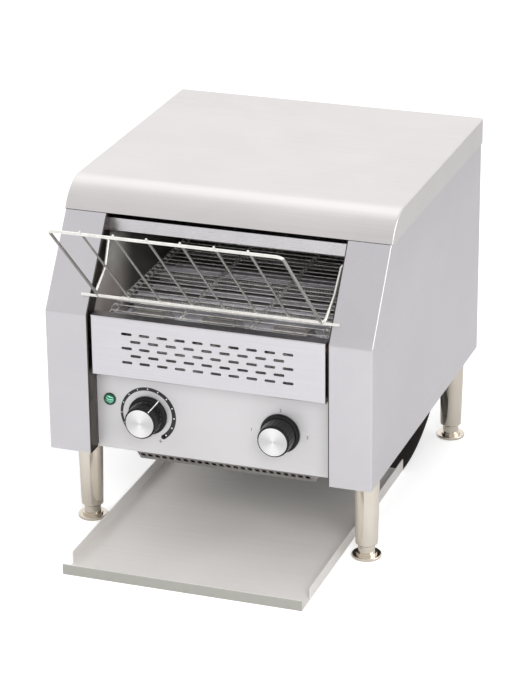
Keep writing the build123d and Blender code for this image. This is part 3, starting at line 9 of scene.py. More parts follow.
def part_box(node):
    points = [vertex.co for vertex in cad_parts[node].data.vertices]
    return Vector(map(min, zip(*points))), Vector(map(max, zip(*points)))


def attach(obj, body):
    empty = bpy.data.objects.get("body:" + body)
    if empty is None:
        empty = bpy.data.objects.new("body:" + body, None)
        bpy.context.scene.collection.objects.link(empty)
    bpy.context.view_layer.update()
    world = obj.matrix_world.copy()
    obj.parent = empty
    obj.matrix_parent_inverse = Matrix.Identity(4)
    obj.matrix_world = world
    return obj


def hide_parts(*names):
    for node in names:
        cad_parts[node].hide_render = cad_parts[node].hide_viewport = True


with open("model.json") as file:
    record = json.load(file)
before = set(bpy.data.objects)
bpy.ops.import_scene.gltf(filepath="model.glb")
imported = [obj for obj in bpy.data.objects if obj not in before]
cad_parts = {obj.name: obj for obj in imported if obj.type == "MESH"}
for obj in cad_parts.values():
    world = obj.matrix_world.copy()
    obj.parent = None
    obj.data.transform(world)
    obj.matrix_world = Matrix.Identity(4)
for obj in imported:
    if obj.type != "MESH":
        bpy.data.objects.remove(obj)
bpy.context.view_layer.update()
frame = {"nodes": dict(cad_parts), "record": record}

# Machine coordinates in this script: millimetres, x from the middle, y from the front face
# of the side panels, z from the counter. at() turns them into the frame's metres.
BODY_DEPTH = 418.0          # front face of the side panels to the back of the rear panel
SHIFT_Y = BODY_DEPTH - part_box("rear_panel")[1].y * 1000


def at(x, y, z):
    """A point of the machine in the frame."""
    return Vector((x, y - SHIFT_Y, z)) / 1000


# ---------------------------------------------------------------- shader nodes
def grown(tree, kind, inputs=None, **settings):
    """A new node with its settings and unlinked input values."""
    node = tree.nodes.new(kind)
    for key, value in settings.items():
        setattr(node, key, value)
    for key, value in (inputs or {}).items():
        node.inputs[key].default_value = value
    return node


def calculated(tree, operation, *sources):
    """A calculation with sockets and plain numbers."""
    node = grown(tree, "ShaderNodeMath", operation=operation)
    for socket, source in zip(node.inputs, sources):
        if isinstance(source, float):
            socket.default_value = source
        else:
            tree.links.new(source, socket)
    return node.outputs[0]


def spread(tree, source, low, high, start=0.3, end=0.7):
    """Maps a socket's values from start to end, which is most of a noise, to low to high."""
    node = grown(tree, "ShaderNodeMapRange",
                 {"From Min": start, "From Max": end, "To Min": low, "To Max": high})
    tree.links.new(source, node.inputs["Value"])
    return node.outputs["Result"]


def blend_colours(tree, factor, first, second, mode="MIX"):
    """Two colours, each a tuple or a socket, mixed or multiplied by a factor."""
    node = grown(tree, "ShaderNodeMix", data_type="RGBA", blend_type=mode)
    factor_input, first_input, second_input = node.inputs[0], node.inputs[6], node.inputs[7]
    for socket, colour in ((first_input, first), (second_input, second)):
        if isinstance(colour, tuple):
            socket.default_value = (*colour, 1.0)
        else:
            tree.links.new(colour, socket)
    if isinstance(factor, float):
        factor_input.default_value = factor
    else:
        tree.links.new(factor, factor_input)
    return node.outputs[2]


def noise_at(tree, scale, detail=3.0, distortion=0.0):
    """Noise on the object's own coordinates, stretched by a scale for each axis."""
    place = grown(tree, "ShaderNodeTexCoord")
    mapping = grown(tree, "ShaderNodeMapping", {"Scale": scale})
    noise = grown(tree, "ShaderNodeTexNoise",
                  {"Scale": 1.0, "Detail": detail, "Roughness": 0.55, "Distortion": distortion})
    tree.links.new(place.outputs["Object"], mapping.inputs["Vector"])
    tree.links.new(mapping.outputs["Vector"], noise.inputs["Vector"])
    return noise.outputs["Fac"]


def object_parts(tree):
    """The object's own coordinates, one by one."""
    place = grown(tree, "ShaderNodeTexCoord")
    parts = grown(tree, "ShaderNodeSeparateXYZ")
    tree.links.new(place.outputs["Object"], parts.inputs[0])
    return parts.outputs


def blank(name):
    """A new material with its node tree and shader."""
    material = bpy.data.materials.new(name)
    material.use_nodes = True
    tree = material.node_tree
    return material, tree, tree.nodes["Principled BSDF"]


# ---------------------------------------------------------------- materials
RELIEF_DEPTH = 0.0002       # metres of height that a full bump stands for


def relief(tree, shader, height, strength):
    """Gives a shader the bumps of a height socket."""
    bump = grown(tree, "ShaderNodeBump", {"Strength": strength, "Distance": RELIEF_DEPTH})
    tree.links.new(height, bump.inputs["Height"])
    tree.links.new(bump.outputs["Normal"], shader.inputs["Normal"])


def surface(name, dark, light, metallic, rough, grain, cloud=(9, 9, 9), streak=0.06, bump=0.1,
            **sockets):
    """A material with clouded colour, a grain that shows in colour, gloss and relief."""
    material, tree, shader = blank(name)
    shader.inputs["Metallic"].default_value = metallic
    for socket, value in sockets.items():
        shader.inputs[socket.replace("_", " ")].default_value = value
    fine = noise_at(tree, grain)
    broad = noise_at(tree, cloud, detail=2.0, distortion=0.4)
    clouded = blend_colours(tree, spread(tree, broad, 0.0, 1.0), dark, light)
    shade = spread(tree, fine, 1.0 - streak, 1.0 + streak)
    grey = grown(tree, "ShaderNodeCombineColor")
    for socket in ("Red", "Green", "Blue"):
        tree.links.new(shade, grey.inputs[socket])
    colour = blend_colours(tree, 1.0, clouded, grey.outputs["Color"], "MULTIPLY")
    tree.links.new(colour, shader.inputs["Base Color"])
    gloss = spread(tree, calculated(tree, "ADD", fine, broad), *rough, 0.6, 1.4)
    tree.links.new(gloss, shader.inputs["Roughness"])
    relief(tree, shader, fine, bump)
    return material


FAR = 1000.0                # the open side of a tint, past everything


def tint(material, colour, amount, *limits):
    """Another colour inside a box: each limit is an axis, low, high and the soft edge, all
    in machine coordinates."""
    tree = material.node_tree
    shader = tree.nodes["Principled BSDF"]
    parts = object_parts(tree)
    share = amount
    for axis, low, high, ease in limits:
        shift = SHIFT_Y if axis == "Y" else 0.0
        for outside, edge in ((low - ease, low), (high + ease, high)):
            step = grown(tree, "ShaderNodeMapRange",
                         {"From Min": (outside - shift) / 1000, "From Max": (edge - shift) / 1000,
                          "To Max": 1.0},
                         interpolation_type="SMOOTHSTEP")
            tree.links.new(parts[axis], step.inputs["Value"])
            share = calculated(tree, "MULTIPLY", step.outputs["Result"], share)
    before = shader.inputs["Base Color"].links[0].from_socket
    painted = blend_colours(tree, share, before, colour)
    tree.links.new(painted, shader.inputs["Base Color"])


ACROSS = (7, 900, 900)      # grain that runs along X
ALONG = (900, 7, 900)       # grain that runs along Y

# Outer sheets
STEEL = surface("brushed_stainless", (0.72, 0.70, 0.735), (0.76, 0.74, 0.775), 1.0, (0.28, 0.40),
                ACROSS, streak=0.035, bump=0.06)
STEEL_TOP = surface("brushed_stainless_top", (0.695, 0.66, 0.66), (0.735, 0.705, 0.705), 1.0,
                    (0.26, 0.36), ACROSS, streak=0.035, bump=0.06)
STEEL_SIDE = surface("brushed_stainless_side", (0.645, 0.62, 0.655), (0.69, 0.67, 0.70), 1.0,
                     (0.28, 0.40), ALONG, streak=0.035, bump=0.06)
PANEL = surface("satin_panel", (0.62, 0.61, 0.62), (0.66, 0.65, 0.66), 0.45, (0.35, 0.5), ACROSS,
                streak=0.012, bump=0.03)
INTAKE_SHEET = surface("intake_sheet", (0.30, 0.29, 0.285), (0.42, 0.41, 0.40), 1.0, (0.3, 0.45),
                       ACROSS, streak=0.06, bump=0.06)
STEEL_TRAY = surface("brushed_stainless_tray", (0.72, 0.695, 0.67), (0.78, 0.755, 0.73), 0.20,
                     (0.42, 0.56), ACROSS, cloud=(5, 5, 5), streak=0.04, bump=0.06)
# The chute under the body is near black: painted shade, for the shade it lies in there.
SHADED_CHUTE = surface("chute_in_painted_shade", (0.030, 0.028, 0.026), (0.055, 0.052, 0.048), 0.0,
                     (0.35, 0.5), (400, 400, 400), bump=0.2)

# The right side's outer face, at 183, is painted a little warmer and darker than the fronts,
# painted shade of the side face, and darker again at the top, a painted shadow under the cover's
# skirt: it lies in the soft edge of both tints and takes a sixth of each.
# The folded returns of both front flanges are painted dark, a painted reflection of the dark
# machine.
RIGHT_FACE_X, SKIRT_SHADOW_Z = 183.3, 352.0
FLANGE_RETURN_X = 135.8
# painted shade: a warmer, darker tone on the right side's outer face
tint(STEEL_SIDE, (0.635, 0.62, 0.605), 0.75, ("X", RIGHT_FACE_X, FAR, 0.4))
# painted shadow under the cover's skirt, at the top of the right side
tint(STEEL_SIDE, (0.50, 0.485, 0.47), 0.40, ("X", RIGHT_FACE_X, FAR, 0.4), ("Z", SKIRT_SHADOW_Z, FAR, 50.0))
# painted reflection of the dark machine on both flanges' folded returns
tint(STEEL_SIDE, (0.085, 0.070, 0.062), 1.0, ("X", -FLANGE_RETURN_X, FLANGE_RETURN_X, 0.1))

# The front face of the tray's lip is painted dark up to just below its top edge: painted shade on
# the upright face.
TRAY_LIP_Y, TRAY_LIP_Z = -87.4, 12.0
tint(STEEL_TRAY, (0.30, 0.30, 0.27), 0.85, ("Y", -FAR, TRAY_LIP_Y, 0.2),
     ("Z", 0.0, TRAY_LIP_Z, 0.3))

# Inner sheets
INNER = surface("galvanised_sheet", (0.42, 0.43, 0.44), (0.58, 0.59, 0.60), 1.0, (0.35, 0.55),
                (120, 120, 120), streak=0.1)
CHAMBER = surface("heat_tinted_and_shaded_sheet", (0.44, 0.42, 0.39), (0.76, 0.74, 0.70), 0.30, (0.30, 0.45),
                  ALONG, cloud=(14, 14, 22), streak=0.08)
REFLECTOR = surface("bright_reflector", (0.62, 0.60, 0.62), (0.69, 0.67, 0.69), 1.0, (0.22, 0.34),
                    ACROSS, streak=0.04)
# Pale and hardly metallic: a painted reflection of the light that comes in at the mouth.
TROUGH = surface("trough_reflector", (0.84, 0.83, 0.90), (0.93, 0.92, 0.99), 0.05, (0.25, 0.40),
                 (9, 500, 500), cloud=(6, 60, 60), streak=0.10)
PAN = surface("drawn_pan", (0.66, 0.65, 0.66), (0.80, 0.79, 0.80), 0.15, (0.35, 0.5), ACROSS,
              streak=0.05)

# The chamber's walls are browned up to just above the belt, and painted dark to the rear and the
# top: painted shade deep inside the chamber.
BROWNED_FROM_Z, BROWNED_TO_Z = 100.0, 272.0
DEEP_SHADE_FROM_Y, DEEP_SHADE_FROM_Z = 140.0, 338.0
DEEP_SHADE = (0.05, 0.045, 0.04)
tint(CHAMBER, (0.42, 0.35, 0.34), 0.7, ("Z", BROWNED_FROM_Z, BROWNED_TO_Z, 22.0))
# painted shade to the rear and at the top of the chamber
tint(CHAMBER, DEEP_SHADE, 0.9, ("Y", DEEP_SHADE_FROM_Y, FAR, 60.0))
tint(CHAMBER, DEEP_SHADE, 0.9, ("Z", DEEP_SHADE_FROM_Z, FAR, 22.0))

# The trough below the belt is painted dark along four bands, dark painted reflections, and beyond
# its bright part, painted shade deep under the belt.
TROUGH_BANDS, TROUGH_BAND_HALF, TROUGH_END_Y = (153.0, 180.0, 206.0, 236.0), 3.0, 273.0
# painted dark reflections along four bands
for band_y in TROUGH_BANDS:
    tint(TROUGH, (0.05, 0.045, 0.045), 0.95,
         ("Y", band_y - TROUGH_BAND_HALF, band_y + TROUGH_BAND_HALF, 5.0))
# painted shade beyond the trough's bright part
tint(TROUGH, (0.04, 0.04, 0.04), 0.95, ("Y", TROUGH_END_Y, FAR, 4.0))

# Wires, platings and machined pieces
DRUM = surface("zinc_drum", (0.46, 0.44, 0.42), (0.62, 0.59, 0.57), 0.80, (0.18, 0.28),
               (200, 200, 200), streak=0.05)
CHROME = surface("bright_plating", (0.74, 0.74, 0.73), (0.84, 0.84, 0.83), 1.0, (0.08, 0.2),
                 (200, 200, 200), streak=0.04)
WIRE = surface("drawn_wire", (0.44, 0.42, 0.40), (0.84, 0.82, 0.80), 0.65, (0.2, 0.35),
               (90, 500, 500), streak=0.25)
RACK = surface("rack_wire", (0.76, 0.74, 0.70), (0.89, 0.875, 0.84), 0.75, (0.14, 0.28),
               (150, 150, 150), streak=0.08)
# Warm nickel whose colour streaks up and down: painted reflections along the round legs and feet.
NICKEL = surface("nickel_plating", (0.64, 0.58, 0.50), (0.82, 0.76, 0.67), 1.0, (0.07, 0.16),
                 (60, 60, 12), streak=0.05)
GROUND = surface("ground_shaft", (0.42, 0.42, 0.42), (0.58, 0.58, 0.58), 1.0, (0.25, 0.4),
                 (600, 60, 60), streak=0.1)
MACHINED = surface("machined_steel", (0.30, 0.30, 0.29), (0.46, 0.45, 0.44), 1.0, (0.3, 0.45),
                   (300, 300, 300), streak=0.1)
BRONZE = surface("sintered_bronze", (0.42, 0.27, 0.12), (0.58, 0.40, 0.20), 1.0, (0.4, 0.6),
                 (900, 900, 900), streak=0.15)
COIL = surface("heating_coil", (0.16, 0.13, 0.11), (0.30, 0.26, 0.23), 1.0, (0.4, 0.6),
               (300, 300, 300), streak=0.15)

# Between the rack's bottom bar and its top bar the wires in front of the mouth are painted
# darker, a painted reflection of the dark mouth.
ROD_BACK_Y, ROD_LOW_Z, ROD_HIGH_Z = 5.0, 289.5, 398.5
tint(RACK, (0.34, 0.33, 0.31), 0.9, ("Y", -FAR, ROD_BACK_Y, 2.0),
     ("Z", ROD_LOW_Z, ROD_HIGH_Z, 1.2))

# Plastics, ceramic, glass, paint and print
BLACK_GLOSS = surface("black_knob", (0.003, 0.003, 0.0035), (0.007, 0.007, 0.008), 0.0,
                      (0.12, 0.20), (500, 500, 500), bump=0.03, Specular_IOR_Level=0.3)
BLACK_PLASTIC = surface("black_plastic", (0.015, 0.015, 0.016), (0.032, 0.032, 0.034), 0.0,
                        (0.45, 0.6), (700, 700, 700), bump=0.25)
SWITCH_BODY = surface("switch_body", (0.62, 0.60, 0.54), (0.74, 0.72, 0.65), 0.0, (0.4, 0.55),
                      (500, 500, 500))
REGULATOR = surface("regulator_body", (0.04, 0.07, 0.16), (0.08, 0.12, 0.24), 0.0, (0.4, 0.5),
                    (500, 500, 500))
CERAMIC = surface("ceramic", (0.70, 0.68, 0.61), (0.82, 0.80, 0.74), 0.0, (0.6, 0.8),
                  (800, 800, 800), bump=0.3)
MOTOR = surface("motor_paint", (0.10, 0.11, 0.12), (0.17, 0.18, 0.20), 0.0, (0.35, 0.5),
                (400, 400, 400), bump=0.2)
LAMP_BODY = surface("lamp_body", (0.006, 0.030, 0.018), (0.012, 0.050, 0.032), 0.0, (0.15, 0.25),
                    (400, 400, 400), bump=0.05)
QUARTZ = surface("quartz", (0.84, 0.83, 0.80), (0.94, 0.93, 0.91), 0.0, (0.03, 0.10),
                 (120, 120, 120), streak=0.03, bump=0.03, Transmission_Weight=0.9, IOR=1.46)
PRINT_BLACK = surface("black_print", (0.010, 0.010, 0.011), (0.022, 0.022, 0.024), 0.0,
                      (0.35, 0.45), (900, 900, 900), bump=0.08)
PRINT_WHITE = surface("white_print", (0.80, 0.80, 0.80), (0.90, 0.90, 0.90), 0.0, (0.4, 0.5),
                      (900, 900, 900), bump=0.08)

# What each material slot of the record looks like, and the nodes that differ from their slot.
FINISH = {
    "stainless": STEEL, "inner_sheet": INNER, "chamber_sheet": CHAMBER, "reflector": REFLECTOR,
    "dark_sheet": SHADED_CHUTE, "fasteners": CHROME, "knob": BLACK_GLOSS, "knob_inlay": CHROME,
    "shaft": GROUND, "regulator": REGULATOR, "switch_body": SWITCH_BODY, "lamp_body": LAMP_BODY,
    "lamp_lens": LAMP_BODY, "black_plastic": BLACK_PLASTIC, "terminal": SWITCH_BODY,
    "quartz": QUARTZ, "coil": COIL, "ceramic": CERAMIC, "wire": WIRE, "sprocket": MACHINED,
    "bush": BRONZE, "motor": MOTOR, "rack_wire": RACK, "leg": NICKEL, "foot": NICKEL,
}
SPECIAL = {
    "right_side_panel": STEEL_SIDE, "left_side_panel": STEEL_SIDE, "top_cover": STEEL_TOP,
    "toast_tray": STEEL_TRAY, "control_panel": PANEL, "air_intake": INTAKE_SHEET,
    "lower_reflector": TROUGH, "crumb_pan": PAN, "front_belt_sprockets": DRUM,
    "rear_belt_sprockets": DRUM,
}
for part in frame["record"]["subparts"]:
    node = frame["nodes"][part["node"]]
    node.data.materials.clear()
    node.data.materials.append(SPECIAL.get(part["node"], FINISH[part["material_slot"]]))


# ---------------------------------------------------------------- making pieces
def piece(name, data, material, body, stands_for=None, smooth=True, place=None):
    """Puts a mesh or a curve into the scene as a piece that rides on a CAD body."""
    thing = bpy.data.objects.new(name, data)
    bpy.context.scene.collection.objects.link(thing)
    if place:
        thing.location = place
    thing.data.materials.append(material)
    if smooth and thing.type == "MESH":
        for polygon in thing.data.polygons:
            polygon.use_smooth = True
    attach(thing, body)
    if stands_for:
        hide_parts(stands_for)


def finished(name, work):
    """The mesh of what was built in a bmesh."""
    mesh = bpy.data.meshes.new(name)
    work.to_mesh(mesh)
    work.free()
    return mesh


SHARP_ANGLE = math.radians(35)


def turned(name, profile, place, segments=96, ripple=None):
    """A mesh turned about an axis, with a sharp edge where its outline turns much: profile
    holds (distance along the axis, radius) pairs, place(distance, radius, turn) gives the
    point, and ripple(distance, turn) how far the surface is cut in there."""
    work = bmesh.new()
    rings = []
    for along, radius in profile:
        ring = []
        for index in range(segments):
            turn = 2 * math.pi * index / segments
            reach = radius - (ripple(along, turn) if ripple else 0.0)
            ring.append(work.verts.new(place(along, reach, turn)))
        rings.append(ring)
    for low, high in zip(rings, rings[1:]):
        for index in range(segments):
            after = (index + 1) % segments
            work.faces.new((low[index], low[after], high[after], high[index]))
    for end in (rings[0], rings[-1]):
        work.faces.new(end)
    bmesh.ops.recalc_face_normals(work, faces=work.faces)
    work.normal_update()
    for edge in work.edges:
        if len(edge.link_faces) == 2 and edge.calc_face_angle(0) > SHARP_ANGLE:
            edge.smooth = False
    return finished(name, work)


def round_own_axis(along, radius, turn):
    """Places a turned profile round the piece's own origin, its axis pointing forward."""
    return Vector((radius * math.sin(turn), -along, radius * math.cos(turn))) / 1000


def wires(name, runs, radius, sides):
    """A curve object's data: round wires along lists of points."""
    curve = bpy.data.curves.new(name, "CURVE")
    curve.dimensions = "3D"
    curve.bevel_depth = radius / 1000
    curve.bevel_resolution = sides
    curve.use_fill_caps = True
    for run in runs:
        spline = curve.splines.new("POLY")
        spline.points.add(len(run) - 1)
        for point, target in zip(spline.points, run):
            point.co = (*target, 1.0)
        spline.use_smooth = True
    return curve


# ---------------------------------------------------------------- conveyor belt
BELT_PITCH = 11.2           # strand to strand
BELT_LINKS = 26             # pitches along one run
BELT_TEETH = 14             # pitches round one full turn of a drum
BELT_RADIUS = BELT_PITCH / (2 * math.sin(math.pi / BELT_TEETH))
BELT_TOP = 262.0            # the upper run's strands
FRONT_SHAFT_Y = 46.5
REAR_SHAFT_Y = FRONT_SHAFT_Y + BELT_LINKS * BELT_PITCH
SHAFT_Z = BELT_TOP - BELT_RADIUS
BELT_HALF = 123.5           # middle to the outer edge of the rings
BELT_WIRE = 0.7             # radius
STRAND_HALF = BELT_HALF - 4.0
RING_REACH = 6.2            # half a ring, along the belt
RING_HALF = 3.9             # half a ring, across the belt
RING_TILT = 0.8             # how far a ring's two ends lie out and in
RING_STEPS = 16
RING_X = BELT_HALF - RING_HALF - BELT_WIRE
JOINT_X = 40.2              # middle to a joint
JOINT_HALF = 3.2            # half a joint's width, across the belt
JOINT_RISE = 0.75           # how far a joint's wires bulge out between strands
JOINT_SHARES = (-0.12, 0.0, 0.25, 0.5, 0.75, 1.0, 1.12)     # of the pitch, past both strands


def belt_places():
    """Y and Z of the belt's strands in order round the loop, top run first."""
    places = []
    for way, start, end in ((1, FRONT_SHAFT_Y, REAR_SHAFT_Y), (-1, REAR_SHAFT_Y, FRONT_SHAFT_Y)):
        for index in range(BELT_LINKS + 1):
            places.append((start + way * index * BELT_PITCH, SHAFT_Z + way * BELT_RADIUS))
        for step in range(1, BELT_TEETH // 2):
            turn = 2 * math.pi * step / BELT_TEETH
            places.append((end + way * BELT_RADIUS * math.sin(turn),
                           SHAFT_Z + way * BELT_RADIUS * math.cos(turn)))
    return places


def ring_run(x, here, ahead, out):
    """A ring that joins one strand to the next along an edge of the belt."""
    run = []
    for step in range(RING_STEPS):
        turn = 2 * math.pi * step / RING_STEPS
        along = BELT_PITCH / 2 + RING_REACH * math.sin(turn)
        spot = here + ahead * along + out * RING_TILT * math.sin(turn)
        run.append(at(x + RING_HALF * math.cos(turn), spot.y, spot.z))
    return run + run[:1]


def joint_runs(x, here, ahead, out):
    """The two wires of a joint between strands, one crossing over the other."""
    runs = []
    for side in (-1, 1):
        run = []
        for share in JOINT_SHARES:
            lift = JOINT_RISE * (math.sin(math.pi * share) + side * 0.5)
            spot = here + ahead * BELT_PITCH * share + out * lift
            run.append(at(x + side * JOINT_HALF * (1 - 2 * share), spot.y, spot.z))
        runs.append(run)
    return runs


def belt_runs():
    """Cross strands, edge rings and joints of the whole loop."""
    places = [Vector((0, y, z)) for y, z in belt_places()]
    runs = []
    for here, there in zip(places, places[1:] + places[:1]):
        ahead = (there - here).normalized()
        out = Vector((0, -ahead.z, ahead.y))
        runs.append([at(-STRAND_HALF, here.y, here.z), at(STRAND_HALF, here.y, here.z)])
        for side in (-1, 1):
            runs.append(ring_run(side * RING_X, here, ahead, out))
            runs += joint_runs(side * JOINT_X, here, ahead, out)
    return runs


piece("belt_wires", wires("belt_wires", belt_runs(), BELT_WIRE, 2), WIRE, "frame",
      "wire_belt")

# ---------------------------------------------------------------- heating coils
TUBE_INSET = 65.5           # first and last tube of a row to the belt's shafts
UPPER_TUBE_Z = 345.0
LOWER_TUBE_Z = 243.0
COIL_HALF = 144.0           # middle to the end of a winding
COIL_RADIUS = 2.6
COIL_WIRE = 0.45            # radius
COIL_TURNS = 88
COIL_STEPS = 10             # points to a turn


def coil_run(y, z):
    """One winding along the middle of a tube."""
    run = []
    for step in range(COIL_TURNS * COIL_STEPS + 1):
        x = -COIL_HALF + 2 * COIL_HALF * step / (COIL_TURNS * COIL_STEPS)
        turn = 2 * math.pi * step / COIL_STEPS
        run.append(at(x, y + COIL_RADIUS * math.cos(turn), z + COIL_RADIUS * math.sin(turn)))
    return run


first_tube, last_tube = FRONT_SHAFT_Y + TUBE_INSET, REAR_SHAFT_Y - TUBE_INSET
for level, height in (("upper", UPPER_TUBE_Z), ("lower", LOWER_TUBE_Z)):
    windings = [coil_run(tube_y, height)
                for tube_y in (first_tube, (first_tube + last_tube) / 2, last_tube)]
    piece(f"{level}_windings", wires(f"{level}_windings", windings, COIL_WIRE, 1), COIL, "frame",
          f"{level}_heating_coils")

# ---------------------------------------------------------------- knobs
PANEL_Y = 20.0              # face of the control panel
KNOB_X = 75.3               # either knob to the middle
KNOB_Z = 149.6
KNOB_SEGMENTS = 240
KNOB_PROFILE = [            # skirt, grip and rim: (distance from the panel, radius)
    (0.6, 20.6), (0.6, 21.7), (1.0, 22.0), (3.0, 22.0), (3.9, 21.7), (4.6, 21.1), (5.1, 20.2),
    (5.3, 19.4), (5.5, 19.0), (6.4, 18.85), (21.5, 18.1), (23.6, 17.9), (24.5, 17.6),
    (25.0, 17.1), (25.2, 16.5), (25.2, 16.05), (24.9, 16.0), (24.9, 8.0),
]
INLAY_PROFILE = [(25.2, 15.2), (25.2, 15.95), (25.8, 15.95), (26.0, 15.7), (26.0, 8.0),
                 (25.96, 0.3)]
FLUTES = 24
FLUTE_DEPTH = 0.42
FLUTE_START, FLUTE_END, FLUTE_EASE = 5.6, 24.4, 1.5
POINTER_START, POINTER_END = 0.9, 25.1
POINTER_EDGE = 15.9         # the line stays outside this radius
POINTER_WIDTH = 1.1
POINTER_LIFT = 0.12         # the paint's thickness, kept thick enough to show
SPEED_TURN, MODE_TURN = 35.0, -90.0         # the photo's settings, clockwise from the top


def facing(x):
    """Places a turned profile in front of the control panel, its axis pointing forward."""
    return lambda along, radius, turn: at(
        x + radius * math.sin(turn), PANEL_Y - along, KNOB_Z + radius * math.cos(turn))


def flutes(along, turn):
    """How deep the grip is cut at a place: the flutes run out towards both ends."""
    if not FLUTE_START < along < FLUTE_END:
        return 0.0
    ease = min(1.0, (along - FLUTE_START) / FLUTE_EASE, (FLUTE_END - along) / FLUTE_EASE)
    return FLUTE_DEPTH * ease * (0.5 + 0.5 * math.cos(FLUTES * turn)) ** 3


def inlay_material():
    """Turned aluminium: fine rings, and brighter and darker rays painted into its colour, the
    painted highlights such a face shows.
    """
    material, tree, shader = blank("turned_inlay")
    shader.inputs["Metallic"].default_value = 1.0
    shader.inputs["Anisotropic"].default_value = 0.6
    parts = object_parts(tree)
    turn = calculated(tree, "ARCTAN2", parts["X"], parts["Z"])
    wave = calculated(tree, "COSINE", calculated(tree, "MULTIPLY", turn, 2.0))
    colour = blend_colours(tree, spread(tree, wave, 0.0, 1.0, -1.0, 1.0),
                           (0.66, 0.66, 0.66), (0.94, 0.93, 0.93))
    tree.links.new(colour, shader.inputs["Base Color"])
    flat = grown(tree, "ShaderNodeCombineXYZ")
    tree.links.new(parts["X"], flat.inputs["X"])
    tree.links.new(parts["Z"], flat.inputs["Z"])
    reach = grown(tree, "ShaderNodeVectorMath", operation="LENGTH")
    tree.links.new(flat.outputs[0], reach.inputs[0])
    rings = grown(tree, "ShaderNodeTexNoise", {"Scale": 2500.0, "Detail": 2.0},
                  noise_dimensions="1D")
    tree.links.new(reach.outputs["Value"], rings.inputs["W"])
    tree.links.new(spread(tree, rings.outputs["Fac"], 0.22, 0.34), shader.inputs["Roughness"])
    relief(tree, shader, rings.outputs["Fac"], 0.12)
    return material


def pointer_mesh(name, x, degrees):
    """A painted line down the knob's side at some degrees clockwise from the top."""
    work = bmesh.new()
    place = facing(x)
    middle = math.radians(degrees)
    pairs = []
    for along, radius in KNOB_PROFILE:
        if POINTER_START <= along <= POINTER_END and radius > POINTER_EDGE:
            half = POINTER_WIDTH / 2 / radius
            pairs.append([work.verts.new(place(along, radius + POINTER_LIFT, middle + turn))
                          for turn in (-half, half)])
    for low, high in zip(pairs, pairs[1:]):
        work.faces.new((low[0], low[1], high[1], high[0]))
    bmesh.ops.recalc_face_normals(work, faces=work.faces)
    return finished(name, work)


INLAY = inlay_material()
for control, knob_x, rest_turn in (("speed", -KNOB_X, SPEED_TURN), ("mode", KNOB_X, MODE_TURN)):
    body = f"{control}_control"
    grip = turned(f"{control}_grip", KNOB_PROFILE, facing(knob_x), KNOB_SEGMENTS, flutes)
    piece(f"{control}_grip", grip, BLACK_GLOSS, body, f"{control}_knob")
    inlay = turned(f"{control}_face", INLAY_PROFILE, round_own_axis)
    piece(f"{control}_face", inlay, INLAY, body, f"{control}_knob_inlay",
          place=at(knob_x, PANEL_Y, KNOB_Z))
    line = pointer_mesh(f"{control}_pointer", knob_x, rest_turn)
    piece(f"{control}_pointer", line, PRINT_WHITE, body)

# ---------------------------------------------------------------- prints on the panel
BLACK_LIFT, DIGIT_LIFT, WHITE_LIFT = 0.05, 0.06, 0.08       # off the panel, so they don't merge
DIAL_RADIUS = 32.0          # outer edge of the band round the speed knob
DIAL_SWEEP = 145.0          # degrees from the top to either end of the band
BAND_THIN, BAND_THICK = 2.4, 5.3
BAND_STEPS = 96
DOTS = 13
DOT_SWEEP = 137.0
DOT_RADIUS, DOT_GROWTH = 0.55, 0.025        # of the first dot, and from dot to dot
PLUS_X, PLUS_Z = -61.9, 120.3
PLUS_REACH, PLUS_HALF = 2.0, 0.28
DIGIT_SIZE = 5.2
DIGITS = (("1", 42.5, 148.9), ("2", 75.4, 175.2), ("3", 105.3, 147.9))


def flat_print(name, shapes, material, y):
    """Thin printed shapes on a plane that faces the front: lists of (x, z) outlines."""
    work = bmesh.new()
    for shape in shapes:
        work.faces.new([work.verts.new(at(x, y, z)) for x, z in shape])
    for face in work.faces:
        face.normal_update()
        if face.normal.y > 0:
            face.normal_flip()
    piece(name, finished(name, work), material, "frame", smooth=False)


def on_dial(radius, degrees):
    """X and Z round the speed knob, at some degrees clockwise from the top."""
    turn = math.radians(degrees)
    return -KNOB_X + radius * math.sin(turn), KNOB_Z + radius * math.cos(turn)


def disc_outline(x, z, radius, steps=20):
    """The outline of a round dot."""
    return [(x + radius * math.cos(2 * math.pi * index / steps),
             z + radius * math.sin(2 * math.pi * index / steps)) for index in range(steps)]


def bar_outline(x, z, half_x, half_z):
    """The outline of an upright rectangle about its middle."""
    return [(x - half_x, z - half_z), (x + half_x, z - half_z), (x + half_x, z + half_z),
            (x - half_x, z + half_z)]


def band_width(degrees):
    """The band's width, which grows clockwise."""
    return BAND_THIN + (BAND_THICK - BAND_THIN) * (degrees + DIAL_SWEEP) / (2 * DIAL_SWEEP)


def end_disc(degrees, radius):
    """A rounded end of the band."""
    return disc_outline(*on_dial(DIAL_RADIUS - radius, degrees), radius)


def dial_band():
    """The band in short pieces, with its two rounded ends."""
    shapes = []
    for step in range(BAND_STEPS):
        start, end = [-DIAL_SWEEP + 2 * DIAL_SWEEP * (step + extra) / BAND_STEPS
                      for extra in (0, 1)]
        shapes.append([on_dial(DIAL_RADIUS, start), on_dial(DIAL_RADIUS, end),
                       on_dial(DIAL_RADIUS - band_width(end), end),
                       on_dial(DIAL_RADIUS - band_width(start), start)])
    shapes.append(end_disc(DIAL_SWEEP, BAND_THICK / 2))
    shapes.append(end_disc(-DIAL_SWEEP, BAND_THIN / 2))
    return shapes


def dial_dots():
    """The dots along the middle of the band, which grow with it."""
    shapes = []
    for step in range(DOTS):
        turn = -DOT_SWEEP + 2 * DOT_SWEEP * step / (DOTS - 1)
        middle = on_dial(DIAL_RADIUS - band_width(turn) / 2, turn)
        shapes.append(disc_outline(*middle, DOT_RADIUS + DOT_GROWTH * step))
    return shapes


